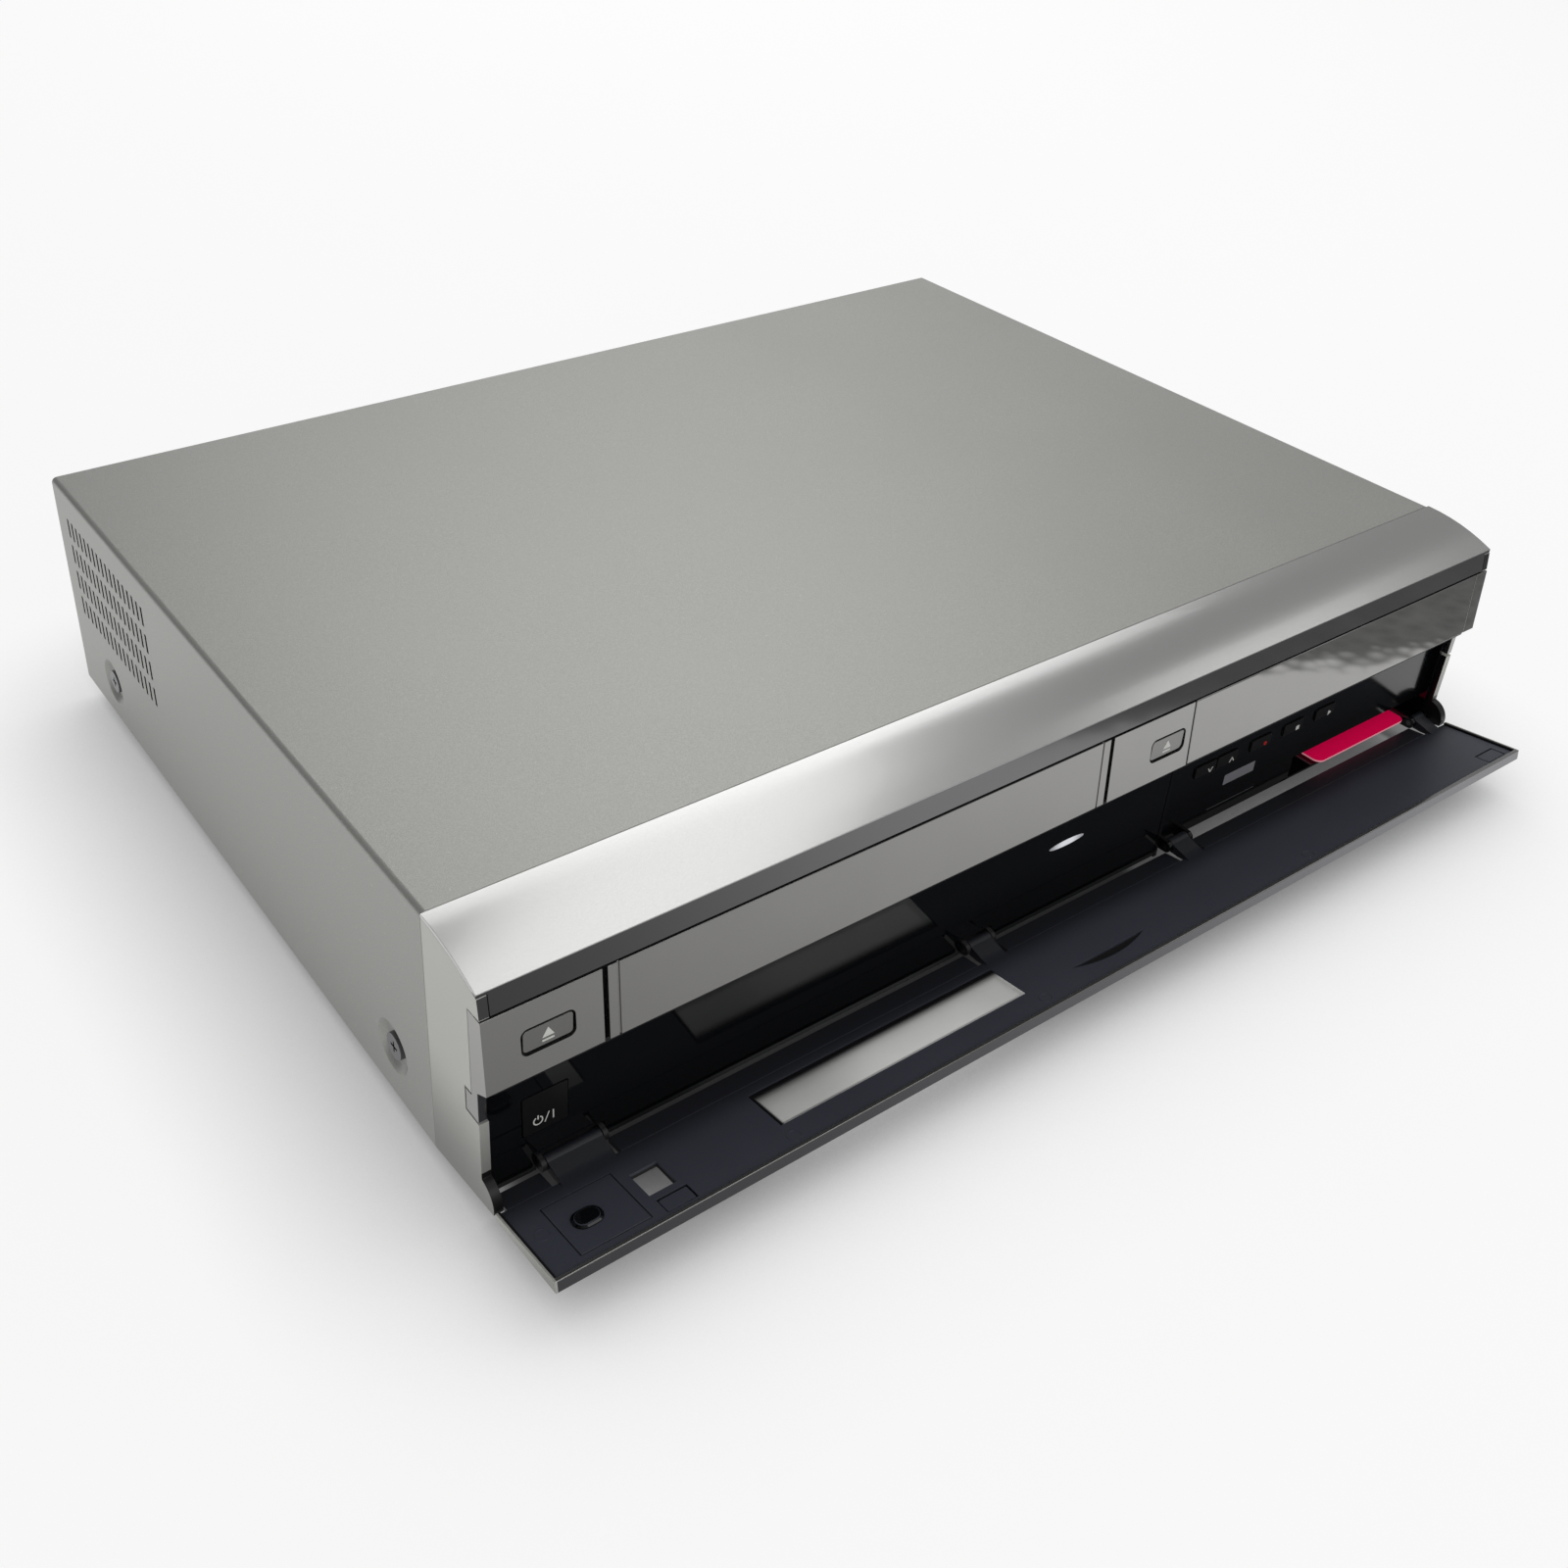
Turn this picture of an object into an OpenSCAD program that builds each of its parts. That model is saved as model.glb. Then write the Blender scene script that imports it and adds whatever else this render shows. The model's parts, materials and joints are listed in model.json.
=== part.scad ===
/* [Body] */
// Width over the sides of the cover
body_w = 430; // [428:1:436]
// Height from the floor to the top of the cover
body_h = 95.5; // [95:0.5:99]
// Depth of the cover behind the front panel
cover_d = 288; // [286:1:300]
// Height of the feet
foot_h = 8.5; // [7.5:0.5:9]
// Radius of a foot
foot_r = 16; // [12:1:20]
// Sheet thickness of the cover
cover_t = 0.8; // [0.6:0.1:1]
// Outer bend radius of the cover's long edges
cover_r = 2; // [1.5:0.5:4]
// Sheet thickness of the bottom pan and the rear panel
pan_t = 1; // [0.8:0.1:1.2]

/* [Vents and screws] */
// Slots in one row of the side vent
vent_columns = 18; // [10:1:18]
// Rows of slots in the side vent
vent_rows = 4; // [2:1:4]
// Distance from slot to slot
vent_pitch = 4.36; // [4:0.02:4.4]
// Distance from row to row
vent_row_pitch = 10.9; // [9:0.1:11]
// Height of one slot
vent_slot_h = 7.5; // [5:0.5:8]
// Width of one slot
vent_slot_w = 1.8; // [1:0.1:2.4]
// Depth of the pressed dimple round a side screw
dimple_d = 2; // [1.5:0.1:2]
// Radius of a cover screw's head
screw_head_r = 4.4; // [3.5:0.1:5]
// Radius of a cover screw's thread
screw_r = 1.9; // [1.5:0.1:2.2]

/* [Front panel] */
// Depth of the curved top trim
trim_d = 28.3; // [27.8:0.1:28.8]
// Radius of the top trim's curve
trim_r = 74; // [72:1:80]
// Wall of the top trim
trim_t = 1.2; // [1:0.1:1.4]
// Height of the dark band under the trim's edge
band_h = 7.8; // [7.4:0.1:8.2]
// Height of the upper fascia
fascia_h = 24.4; // [24:0.1:24.8]
// Wall of the upper fascia
fascia_t = 2.5; // [2:0.1:2.6]
// How far the fascia leans forward at its lower edge
fascia_lean = 1.8; // [1.4:0.1:2]
// Wall of the side cheeks
cheek_t = 3; // [2.6:0.1:3.4]
// Depth of the front panel's wall behind its joint with the cover
wall_y = 23.3; // [23.1:0.1:23.5]
// Wall of the moulded frame
frame_t = 2; // [1.8:0.1:2.2]
// Width of the right end strip beside the tray
end_strip_w = 6.4; // [5:0.1:8]

/* [Cassette slot] */
// Width of the cassette slot
slot_w = 188.6; // [188:0.1:190]
// Middle of the cassette slot, left of the body's middle
slot_off = 83.4; // [83:0.1:84]

/* [Disc tray] */
// Width of the tray's front
tray_front_w = 157; // [150:0.5:157]
// Radius of the disc recess
disc_recess_r = 60.5; // [60.2:0.1:61]
// Travel of the tray
tray_travel = 135; // [110:1:138]
// Teeth of the tray's drive gear
gear_teeth = 16; // [14:1:18]
// Module of the tray's rack and gear
gear_module = 1.25; // [1:0.05:1.3]

/* [Flap] */
// Height of the flap's hinge axis over the pan's underside
hinge_rise = 6.3; // [6:0.1:6.6]
// Distance of the hinge axis in front of the cover's joint
hinge_y = 25.8; // [25.6:0.1:26]
// Radius of the hinge pins
hinge_pin_r = 1; // [0.8:0.1:1.1]
// Angle between the closed and the open flap
flap_swing = 81.4; // [60:0.2:84]
// Thickness of the flap at its free edge
flap_t = 3.95; // [3.6:0.05:4.4]
// Width of the flap's window
window_w = 96.5; // [80:0.5:100]
// Height of the flap's window
window_h = 15.5; // [12:0.5:16]

/* [Keys and card] */
// Width of an eject key
eject_w = 15; // [12:0.5:16]
// Height of an eject key
eject_h = 7.3; // [6:0.1:8]
// Side of the square power key
power_w = 14.2; // [12:0.2:15]
// Width of a small key
key_w = 11; // [8:0.5:13]
// Height of a small key
key_h = 4.6; // [4:0.2:6]
// Travel of a key
key_travel = 0.6; // [0.3:0.05:0.6]
// Width of the access card
card_w = 54; // [50:0.5:54]
// Length of the access card
card_l = 85.6; // [80:0.2:86]
// Thickness of the access card
card_t = 0.76; // [0.6:0.02:0.9]

/* [Hidden] */
$fn = 64;

// Small clearances that every fit is made from
joint_gap = 0.2;
key_gap = 0.3;
run_fit = 0.05;
cut = 1;
function around(middle, half) = [middle - half, middle + half];

// Body
half_w = body_w / 2;
floor_z = foot_h + pan_t;
skirt_z = foot_h + 0.7;
side_in = half_w - cover_t;
flange_out = side_in - dimple_d;
flange_in = flange_out - pan_t;
flange_top = foot_h + 32;
front_lip_h = 4;
rear_y = [cover_d - cover_t - pan_t, cover_d - cover_t];
rear_through = [rear_y[0] - cut, rear_y[1] + cut];
rear_lip = [cover_d - cover_t, cover_d];
roof_z = body_h - cover_t;
foot_x = half_w - 45;
foot_ys = [30, cover_d - 38];
foot_wall = 3;
screw_yz = [[24, foot_h + 19.5], [cover_d - 35.5, foot_h + 17]];
screw_l = 9;
head_h = 1.7;
cross_l = 4;
cross_w = 0.8;
cross_d = 0.9;
dimple_r = 9;
dimple_r2 = 6.6;
lip_h = 9;
lip_screw_z = body_h - 5.5;
vent_y0 = cover_d - 13.1;
vent_z0 = body_h - 11.6;
floor_vents = 5;
floor_vent_pitch = 12;
floor_vent_w = 8;
floor_vent_inset = 54;

// Front panel profile, as y and z with the cover's joint at y = 0
arc_z = body_h - trim_r;
function arc_top(y, r) = arc_z + sqrt(r * r - y * y);
edge_y = -trim_d;
edge_z = arc_top(trim_d, trim_r);
band_lean = 1.1;
band_y = edge_y - band_lean;
band_z = edge_z - band_h;
fascia_top = band_z - 0.6;
fascia_low = fascia_top - fascia_h;
fascia_y = band_y - 0.4;
tip_y = fascia_y - fascia_lean;
function face_y(z) = fascia_y - fascia_lean * (fascia_top - z) / fascia_h;
function back_y(z) = face_y(z) + fascia_t;
soffit = [fascia_low - 2.7, fascia_low - 1.1];
wall = [-wall_y, -wall_y + frame_t];
wall_through = [wall[0] - cut, wall[1] + cut];
panel_t = 1.6;
panel_y = [wall[0] - panel_t, wall[0]];
panel_z = [foot_h + 3.8, soffit[0] - joint_gap];
inner_w = half_w - cheek_t - joint_gap;
cheek_y = hinge_y + 1;
seam_y = 23.2;
tab_z = [foot_h + 34, foot_h + 43];
tab_y = 19.6;
chin_y = 33;
chin_z = foot_h + 4.7;

// Fascia splits along the width
tunnel_t = 1.2;
slot_x = -slot_off;
slot_x0 = slot_x - slot_w / 2;
slot_x1 = slot_x + slot_w / 2;
end_x0 = half_w - end_strip_w;
tray_x1 = end_x0 - 2 * joint_gap;
tray_x0 = tray_x1 - tray_front_w;
tray_x = (tray_x0 + tray_x1) / 2;
eject_x1 = slot_x0 - tunnel_t - joint_gap;
middle_x = [slot_x1 + tunnel_t + joint_gap, tray_x0 - 4 * joint_gap];
door_axis = [edge_y + 2.9, edge_z - 3.3];
door_arm_w = 4;
door_pin_r = 1;
door_barrel_r = 1.3;
groove_w = 0.6;
groove_d = 0.5;
groove_inset = 3;
slot_floor = soffit[1];
slot_roof = arc_top(wall[0], trim_r - trim_t) - 2;
tunnel_end = -6;
tunnel_front = edge_y + trim_t + 0.5;
tray_hole_x = [tray_x0 + 2.5, tray_x1 - 2.5];
tray_hole_z = [fascia_low + 3.5, fascia_top - 1.5];

// Flap, drawn closed and then turned open
axis_y = -hinge_y;
axis_z = foot_h + hinge_rise;
flap_z0 = axis_z + 7.5;
flap_z1 = soffit[0] - 1.2;
flap_foot_z = axis_z + 0.6;
rim_y = -cheek_y - 0.15;
rim_t = 1.5;
liner_t = 0.9;
liner_y = [rim_y - 0.85 - liner_t, rim_y - 0.85];
flap_low_t = 2.6;
flap_through = [rim_y - flap_t - cut, 0];
bulge_r = 7.1;
barrel_r = 2.2;
lug_t = 1.5;
lug_gap = 0.3;
window_x = [-half_w + 81.5, -half_w + 81.5 + window_w];
window_z = [flap_z0 + 4, flap_z0 + 4 + window_h];
window_ledge = 1.5;
flap_key_x = [-half_w + 10.5, -half_w + 33];
flap_key_z = [flap_z0 + 5.3, flap_z0 + 26.5];
key_ledge = 1.5;
latch_x = [-half_w + 36.5, -half_w + 45.5];
latch_z = [flap_z0 + 9.5, flap_z0 + 19.5];
tab_recess_x = [-half_w + 37, -half_w + 47];
tab_recess_z = [flap_z0 + 21.8, flap_z0 + 27.7];
end_recess_x = [half_w - 15.7, half_w - 5];
end_recess_z = [flap_z0 + 22.3, flap_z0 + 28.4];
recess_d = 0.5;
grip_r = 43;
grip_w = 34;

// Control panel, sunk to the right of the step
step_x = tray_x0 + 2.8;
ctrl_x = [step_x + 2 * joint_gap, inner_w - 2 * joint_gap];
ctrl_t = 1.6;
ctrl_y = -22.5;
well_y = -13;
shelf_z = foot_h + 15;
ctrl_low = foot_h + 3;
arms = [[-half_w + 29, 18], [-31.7, 9], [step_x + 10.8, 8.5], [half_w - 9, 6]];

// Keys: middle of each along the width and its height
eject_z = (fascia_top + fascia_low) / 2 - 0.5;
tape_eject_x = -half_w + 19.1;
disc_eject_x = (middle_x[0] + middle_x[1]) / 2 + 8;
power_x = -half_w + 21;
power_z = foot_h + 26.3;
small_key_z = foot_h + 31.5;
small_keys = [for (d = [22, 33.6, 52, 70.3, 88.7]) step_x + d];
key_proud = 0.6;
flange_w = 1.2;
power_hole_w = power_w + 2 * flange_w + 2;
stem_w = 5;
stem_h = 4;
switch_t = 0.8;
switch_w = 6;
board_t = 1.6;
front_board_y = [wall[1] + 2.7, wall[1] + 2.7 + board_t];
key_board_y = [ctrl_y + ctrl_t + 4.2, ctrl_y + ctrl_t + 4.2 + board_t];
front_board_x = [-half_w + 10, step_x - 10];
front_board_z = [foot_h + 8, soffit[0] - 4];
board_posts = [front_board_x[0] + 28, slot_x1 + 14];
board_post_r = 3;
key_board_x = [step_x + 10, half_w - 15];
key_board_z = [shelf_z + 4, soffit[0] - 4];
key_posts = [key_board_x[0] + 2.5, key_board_x[1] - 4];
display_x = [window_x[0] - 3, window_x[1] + 3];
display_z = [flap_z0 + 2, flap_z0 + 23];

// Access card and its reader
card_x = half_w - 41.4;
card_z = foot_h + 6.8;
card_y = -24.4;
card_corner = 3.2;
card_gap = 0.1;
reader_wall = 3;
reader_end = card_y + card_l + reader_wall;
small_slot_x = [step_x + 18, step_x + 43];

// Tape deck
deck_t = 1.5;
deck_rise = 21.5;
deck_z = [floor_z + deck_rise, floor_z + deck_rise + deck_t];
deck_x = [slot_x0 - 6, slot_x1 + 6];
deck_y = [8, 222];
drum_y = 186;
drum_r = 31;
drum_h = 16;
drum_tilt = 6;
drum_gap = 0.4;
drum_z = deck_z[1] + drum_r * sin(drum_tilt) + 0.6;
drum_pin_r = 3;
reel_dx = 46;
reel_y = 118;
reel_r = 22;
reel_pin_r = 2.5;
capstan_x = slot_x + 50;
capstan_y = 180;
capstan_r = 2;
flywheel_r = 22;
capstan_boss = 6;
basket_y = [10, 105];
basket_t = 1;
basket_z = [slot_floor - 1.2, slot_floor + 26.8];
basket_x = [slot_x0 - basket_t, slot_x1 + basket_t];
basket_drop = basket_z[0] - deck_z[1] - 6.3;
ledge_w = 10;
slider_t = 1;
slider_gap = 0.4;
slider_y = [20, 96];
carriage_pin_r = 1.5;
pin_root = 0.2;
carriage_travel = 60;
basket_pins = [32, 84];
basket_pin_z = slot_floor + 8;
slider_pins = [28, 88];
slider_pin_z = slot_floor + 20;
rail_t = 1.2;
rail_y = [12, 165];
rail_d = slider_gap * 2 + slider_t;
slider_z = [basket_pin_z - basket_drop - carriage_pin_r - 2.5, basket_z[1] + 6];
function slab(s, d, t) =
  s < 0 ? [basket_x[0] - d - t, basket_x[0] - d] : [basket_x[1] + d, basket_x[1] + d + t];

// Disc drive
gear_y = 4;
drive_x = [tray_x - 73, tray_x + 73];
drive_z = [fascia_low - 5, roof_z - 3];
drive_t = 1.2;
plate_x = [tray_x - 67, tray_x + 67];
plate_y = [-20, gear_y + tray_travel + 1];
drive_y = [-8, plate_y[1] + 20];
plate_z = [fascia_low + 8.6, fascia_low + 11.8];
disc_y = 42.5;
rack_x = plate_x[0] + 2.4;
rack_z = [plate_z[0] - 3.6, plate_z[0]];
gear_r = gear_teeth * gear_module / 2;
gear_backlash = 0.5;
gear_pin_r = 2;
rack_line = rack_x + 1.25 * gear_module;
gear_x = rack_line + gear_r;
gear_z = [rack_z[0] - 0.2, rack_z[1] - 0.5];
drive_post_r = 3;
drive_post_ys = [reader_end + drive_post_r + 1, drive_y[1] - 6];
spindle_r = 13;
spindle_pin_r = 2;
motor_r = 11;
motor_h = 5;
rod_r = 1.5;
rod_dx = 24;
rod_z0 = drive_z[0] + drive_t + 4.2;
sled_y = [68, 90];
sled_travel = 36;
rod_y_span = [sled_y[0] - 4, sled_y[1] + sled_travel + 8];

// Boards, disk and connectors
main_x = [step_x - 30, half_w - 7];
main_y = [drive_post_ys[0] + drive_post_r + 1, drive_post_ys[1] - drive_post_r - 3];
main_z = [floor_z + 7, floor_z + 7 + board_t];
chip_h = 3;
disk_w = 101.6;
disk_l = 147;
disk_h = 20;
disk_x = around(tray_x, disk_w / 2);
disk_y = [rear_y[0] - 18.6 - disk_l, rear_y[0] - 18.6];
disk_z = [main_z[1] + chip_h + 0.5, main_z[1] + chip_h + 0.5 + disk_h];
bracket_w = 12;
bracket_t = 2;
bracket_ys = [disk_y[1] - 60, disk_y[1] - 10];
psu_x = [-half_w + 12, -half_w + 137];
psu_y = [deck_y[1] + 6, cover_d - 8];
psu_row = psu_y[0] + 11.5;
psu_z = [floor_z + 7, floor_z + 7 + board_t];
tuner_x = [psu_x[1] + 16, psu_x[1] + 86];
tuner_y = [rear_y[0] - 36.2, rear_y[0]];
tuner_z = [floor_z, floor_z + 20];
tuner_pins = [for (i = [0:3]) tuner_x[0] + 11 + 16 * i];
tuner_pin_z = tuner_z[0] + 10;
jack_board_y = rear_y[0] - 14;
jack_x0 = half_w - 181;
jack_pitch = 14;
jack_columns = 9;
jack_zs = [floor_z + 9, floor_z + 23];
jack_r = 4.2;
jack_reach = 9;
jack_bore_r = 1.6;
jack_body_w = 12;
socket_w = 15;
socket_h = 8;
socket_xs = [for (i = [0:1]) jack_x0 + jack_columns * jack_pitch + 11.5 + i * 20];
fan_x = (tuner_x[0] + tuner_x[1]) / 2;
fan_z = floor_z + 54;
fan_w = 60;
lip_screws = [-half_w + 65, fan_x + fan_w / 2 + 17, half_w - 65];
fan_t = 15;
fan_r = 27.5;
fan_y = [rear_y[0] - fan_t, rear_y[0]];
fan_slots = 4;
fan_slot_pitch = 6;
fan_slot_h = 3.4;
fan_pin_r = 1.5;
fan_hub_r = 12;
fan_hub_h = 11;
fan_web_t = 2;
blades = 7;
blade_r = 26;
blade_t = 1.2;
blade_pitch = 35;
inlet_x = -half_w + 29;
inlet_z = floor_z + 22;
inlet_w = 27;
inlet_h = 20;

// The frame's origin lies under the middle of the object with its flap open
flap_reach = hinge_y + (flap_z1 - axis_z) * sin(flap_swing) + (axis_y - rim_y + flap_t) * cos(flap_swing);
y_mid = (rear_y[1] + jack_reach - flap_reach) / 2;

// Helpers
module placed() translate([0, -y_mid, 0]) children();

module block(x, y, z)
  translate([x[0], y[0], z[0]]) cube([x[1] - x[0], y[1] - y[0], z[1] - z[0]]);

module along_x(x)
  translate([x[0], 0, 0]) rotate([90, 0, 90]) linear_extrude(x[1] - x[0]) children();

module along_y(y)
  translate([0, y[1], 0]) rotate([90, 0, 0]) linear_extrude(y[1] - y[0]) children();

module rod_x(x, y, z, r)
  translate([x[0], y, z]) rotate([0, 90, 0]) cylinder(h = x[1] - x[0], r = r);

module rod_y(x, y, z, r)
  translate([x, y[0], z]) rotate([-90, 0, 0]) cylinder(h = y[1] - y[0], r = r);

module rod_z(x, y, z, r)
  translate([x, y, z[0]]) cylinder(h = z[1] - z[0], r = r);

module both_sides() {
  children();
  mirror([1, 0, 0]) children();
}

// Rectangle with round corners, centred
module round_rect(w, h, r) {
  square([w - 2 * r, h], center = true);
  square([w, h - 2 * r], center = true);
  for (x = [-1, 1], y = [-1, 1])
    translate([x * (w / 2 - r), y * (h / 2 - r)]) circle(r);
}

module key_block(x, y, z, w, h, r)
  along_y(y) translate([x, z]) round_rect(w, h, r);

// Bottom pan with side flanges
module base_pan() color("lightgray") placed() difference() {
  union() {
    block([-flange_out, flange_out], [0, rear_y[0]], [foot_h, floor_z]);
    both_sides() block([flange_in, flange_out], [0, rear_y[0]], [foot_h, flange_top]);
    block([-flange_in, flange_in], [0, pan_t], [foot_h, foot_h + front_lip_h]);
  }
  for (p = screw_yz)
    both_sides() rod_x([flange_in - cut, flange_out + cut], p[0], p[1], screw_r + run_fit);
  for (i = [0:floor_vents - 1]) {
    x = psu_x[0] + floor_vent_inset + floor_vent_pitch * i;
    block([x, x + floor_vent_w], [psu_y[0] + 4, psu_y[1] - 8], [foot_h - cut, floor_z + cut]);
  }
}

// Cover bent from one sheet
module cover_section(w, top, r) {
  translate([-w, skirt_z - cut]) square([2 * w, top - r - skirt_z + cut]);
  translate([-w + r, skirt_z - cut]) square([2 * (w - r), top - skirt_z + cut]);
  for (s = [-1, 1]) translate([s * (w - r), top - r]) circle(r);
}

module at_side_screw(side, p)
  translate([side * half_w, p[0], p[1]]) rotate([0, -90 * side, 0]) children();

module top_cover() color("gray") placed() difference() {
  union() {
    along_y([joint_gap, cover_d]) difference() {
      intersection() {
        cover_section(half_w, body_h, cover_r);
        translate([-half_w, skirt_z]) square([body_w, body_h]);
      }
      cover_section(side_in, roof_z, cover_r - cover_t);
    }
    block([-side_in + 8, side_in - 8], rear_lip, [body_h - lip_h, roof_z + cover_t / 2]);
    for (s = [-1, 1], p = screw_yz)
      at_side_screw(s, p) translate([0, 0, cover_t / 2])
        cylinder(h = dimple_d + cover_t / 2, r1 = dimple_r + cover_t, r2 = dimple_r2 + cover_t);
  }
  for (s = [-1, 1], p = screw_yz) at_side_screw(s, p) {
    cylinder(h = dimple_d, r1 = dimple_r, r2 = dimple_r2);
    translate([0, 0, -cut]) cylinder(h = cut, r = dimple_r);
    cylinder(h = dimple_d + 2, r = screw_r + run_fit);
  }
  for (x = lip_screws)
    rod_y(x, [rear_lip[0] - cut, rear_lip[1] + cut], lip_screw_z, screw_r + run_fit);
  for (c = [0:vent_columns - 1], r = [0:vent_rows - 1])
    translate([-half_w - cut, vent_y0 - c * vent_pitch, vent_z0 - r * vent_row_pitch - vent_slot_h])
      cube([cover_t + 2 * cut, vent_slot_w, vent_slot_h]);
}

// One cross-head screw along +z, its head's underside at z = 0
module screw() difference() {
  union() {
    translate([0, 0, -head_h]) cylinder(h = head_h, r = screw_head_r);
    translate([0, 0, -0.01]) cylinder(h = screw_l, r = screw_r);
  }
  for (a = [0, 90]) rotate(a) translate([-cross_l / 2, -cross_w / 2, -head_h - cut])
    cube([cross_l, cross_w, cut + cross_d]);
}

module cover_screws() color("dimgray") placed() {
  for (s = [-1, 1], p = screw_yz) at_side_screw(s, p) translate([0, 0, dimple_d]) screw();
  for (x = lip_screws)
    translate([x, cover_d, lip_screw_z]) rotate([90, 0, 0]) screw();
}

// Rear panel with its connector holes
module rear_panel() color("silver") placed() difference() {
  union() {
    block([-side_in + joint_gap, side_in - joint_gap], rear_y, [foot_h, roof_z - cover_r]);
    block([-side_in + cover_r, side_in - cover_r], rear_y, [foot_h, roof_z - joint_gap]);
  }
  for (x = lip_screws) rod_y(x, rear_through, lip_screw_z, screw_r + run_fit);
  for (c = [0:jack_columns - 1], z = jack_zs)
    rod_y(jack_x0 + c * jack_pitch, rear_through, z, jack_r + run_fit);
  for (x = tuner_pins) rod_y(x, rear_through, tuner_pin_z, jack_r + run_fit);
  block(around(inlet_x, inlet_w / 2 + run_fit), rear_through, around(inlet_z, inlet_h / 2 + run_fit));
  for (x = socket_xs)
    block(around(x, socket_w / 2 + joint_gap), rear_through, around(jack_zs[0], socket_h / 2 + joint_gap));
  for (i = [-fan_slots:fan_slots]) fan_slot(i * fan_slot_pitch);
}

// One slot of the fan's grille, as long as the round opening is wide there
module fan_slot(dz) {
  reach = sqrt(fan_r * fan_r - dz * dz);
  block(around(fan_x, reach), rear_through, around(fan_z + dz, fan_slot_h / 2));
}

// Four round feet
module feet() color("dimgray") placed()
  for (x = [-foot_x, foot_x], y = foot_ys) translate([x, y, 0]) rotate_extrude() difference() {
    polygon([[0, 0], [foot_r - 1.5, 0], [foot_r, 1.5], [foot_r - 1, foot_h], [0, foot_h]]);
    translate([foot_r / 3, -cut]) square([foot_r * 2 / 3 - foot_wall, cut + 1.2]);
  }

// Moulded frame behind the front
module frame_ring(r) intersection() {
  translate([0, arc_z]) circle(r);
  translate([-wall_y, panel_z[0]]) square([wall_y, body_h]);
}

module lug_section(back) difference() {
  union() {
    translate([axis_y, axis_z]) circle(barrel_r);
    polygon([[axis_y, axis_z - barrel_r], [back, axis_z - barrel_r - 0.4], [back, axis_z + barrel_r + 0.8],
      [axis_y, axis_z + barrel_r]]);
  }
  translate([axis_y, axis_z]) circle(hinge_pin_r + run_fit / 2);
}

module lugs(arm, back) for (s = [-1, 1])
  along_x(s < 0 ? [arm[0] - arm[1] / 2 - lug_gap - lug_t, arm[0] - arm[1] / 2 - lug_gap]
    : [arm[0] + arm[1] / 2 + lug_gap, arm[0] + arm[1] / 2 + lug_gap + lug_t]) lug_section(back);

function notch_x(arm) = around(arm[0], arm[1] / 2 + 2 * lug_gap + lug_t);

module arm_notch(arm, y) block(notch_x(arm), y, [foot_h, axis_z + barrel_r + 1.2]);

module frame_shell() difference() {
  union() {
    along_x([-inner_w, inner_w]) difference() {
      frame_ring(trim_r - trim_t - 0.05);
      translate([wall[1], panel_z[0] + frame_t]) square([wall_y, body_h]);
    }
    along_x([-inner_w, inner_w]) difference() {
      frame_ring(trim_r - trim_t - 0.05);
      frame_ring(trim_r - trim_t - frame_t);
    }
    both_sides()
      block([inner_w - frame_t, inner_w], [wall[0], 0], [panel_z[0], arc_top(wall[0], trim_r - trim_t) - 1]);
    block([-inner_w, inner_w], [tip_y + 2, wall[0]], soffit);
  }
  block([slot_x0, slot_x1], wall_through, [slot_floor, slot_roof]);
  block(tray_hole_x, wall_through, tray_hole_z);
  block([ctrl_x[0] - joint_gap, inner_w + cut], [wall[0] - cut, well_y + ctrl_t + joint_gap], [0, soffit[0]]);
  block([display_x[0] - joint_gap, display_x[1] + joint_gap], wall_through,
    [display_z[0] - joint_gap, display_z[1] + joint_gap]);
  key_block(power_x, wall_through, power_z, power_hole_w, power_hole_w, 1);
  for (i = [0, 1]) arm_notch(arms[i], [wall[0] - cut, wall[0] + 0.8]);
}

module bezel_frame() color("#1c1c1e") placed() difference() {
  union() {
    frame_shell();
    for (x = [[slot_x0 - tunnel_t, slot_x0], [slot_x1, slot_x1 + tunnel_t]]) along_x(x) intersection() {
      polygon([[tunnel_end, slot_floor - 1], [wall[0], slot_floor - 1], [tunnel_front, slot_floor],
        [tunnel_front, arc_top(trim_d, trim_r - trim_t) - 1], [tunnel_end, body_h]]);
      translate([0, arc_z]) circle(trim_r - trim_t - 0.05);
    }
    for (i = [0, 1]) lugs(arms[i], wall[0] + 0.8);
    for (x = board_posts) rod_y(x, [wall[1] - 0.5, front_board_y[0]], front_board_z[0] + 4, board_post_r);
    for (x = board_posts) rod_y(x, [wall[1] - 0.5, front_board_y[0]], front_board_z[1] - 4, board_post_r);
    for (x = [tape_eject_x, disc_eject_x])
      block(around(x, switch_w / 2), [wall[0] - switch_t, wall[0]], around(eject_z, switch_w / 2));
  }
  rod_x([slot_x0 - tunnel_t - cut, slot_x1 + tunnel_t + cut], door_axis[0], door_axis[1],
    door_pin_r + run_fit);
}

// Silver trim over the front, with the dark band under its edge
module top_trim() color("silver") placed() {
  along_x([-half_w, half_w]) difference() {
    intersection() {
      translate([0, arc_z]) circle(trim_r);
      translate([edge_y, edge_z - 4]) square([trim_d, body_h]);
    }
    translate([0, arc_z]) circle(trim_r - trim_t);
  }
  along_x([-inner_w, inner_w])
    polygon([[edge_y, edge_z], [band_y, band_z], [band_y + trim_t, band_z], [edge_y + trim_t, edge_z - 0.6]]);
}

// Side cheeks
bulge_end = acos((hinge_y - cheek_y) / bulge_r);
bulge_arc = [for (a = [bulge_end : 8 : 200]) [axis_y + bulge_r * cos(a), axis_z + bulge_r * sin(a)]];

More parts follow.
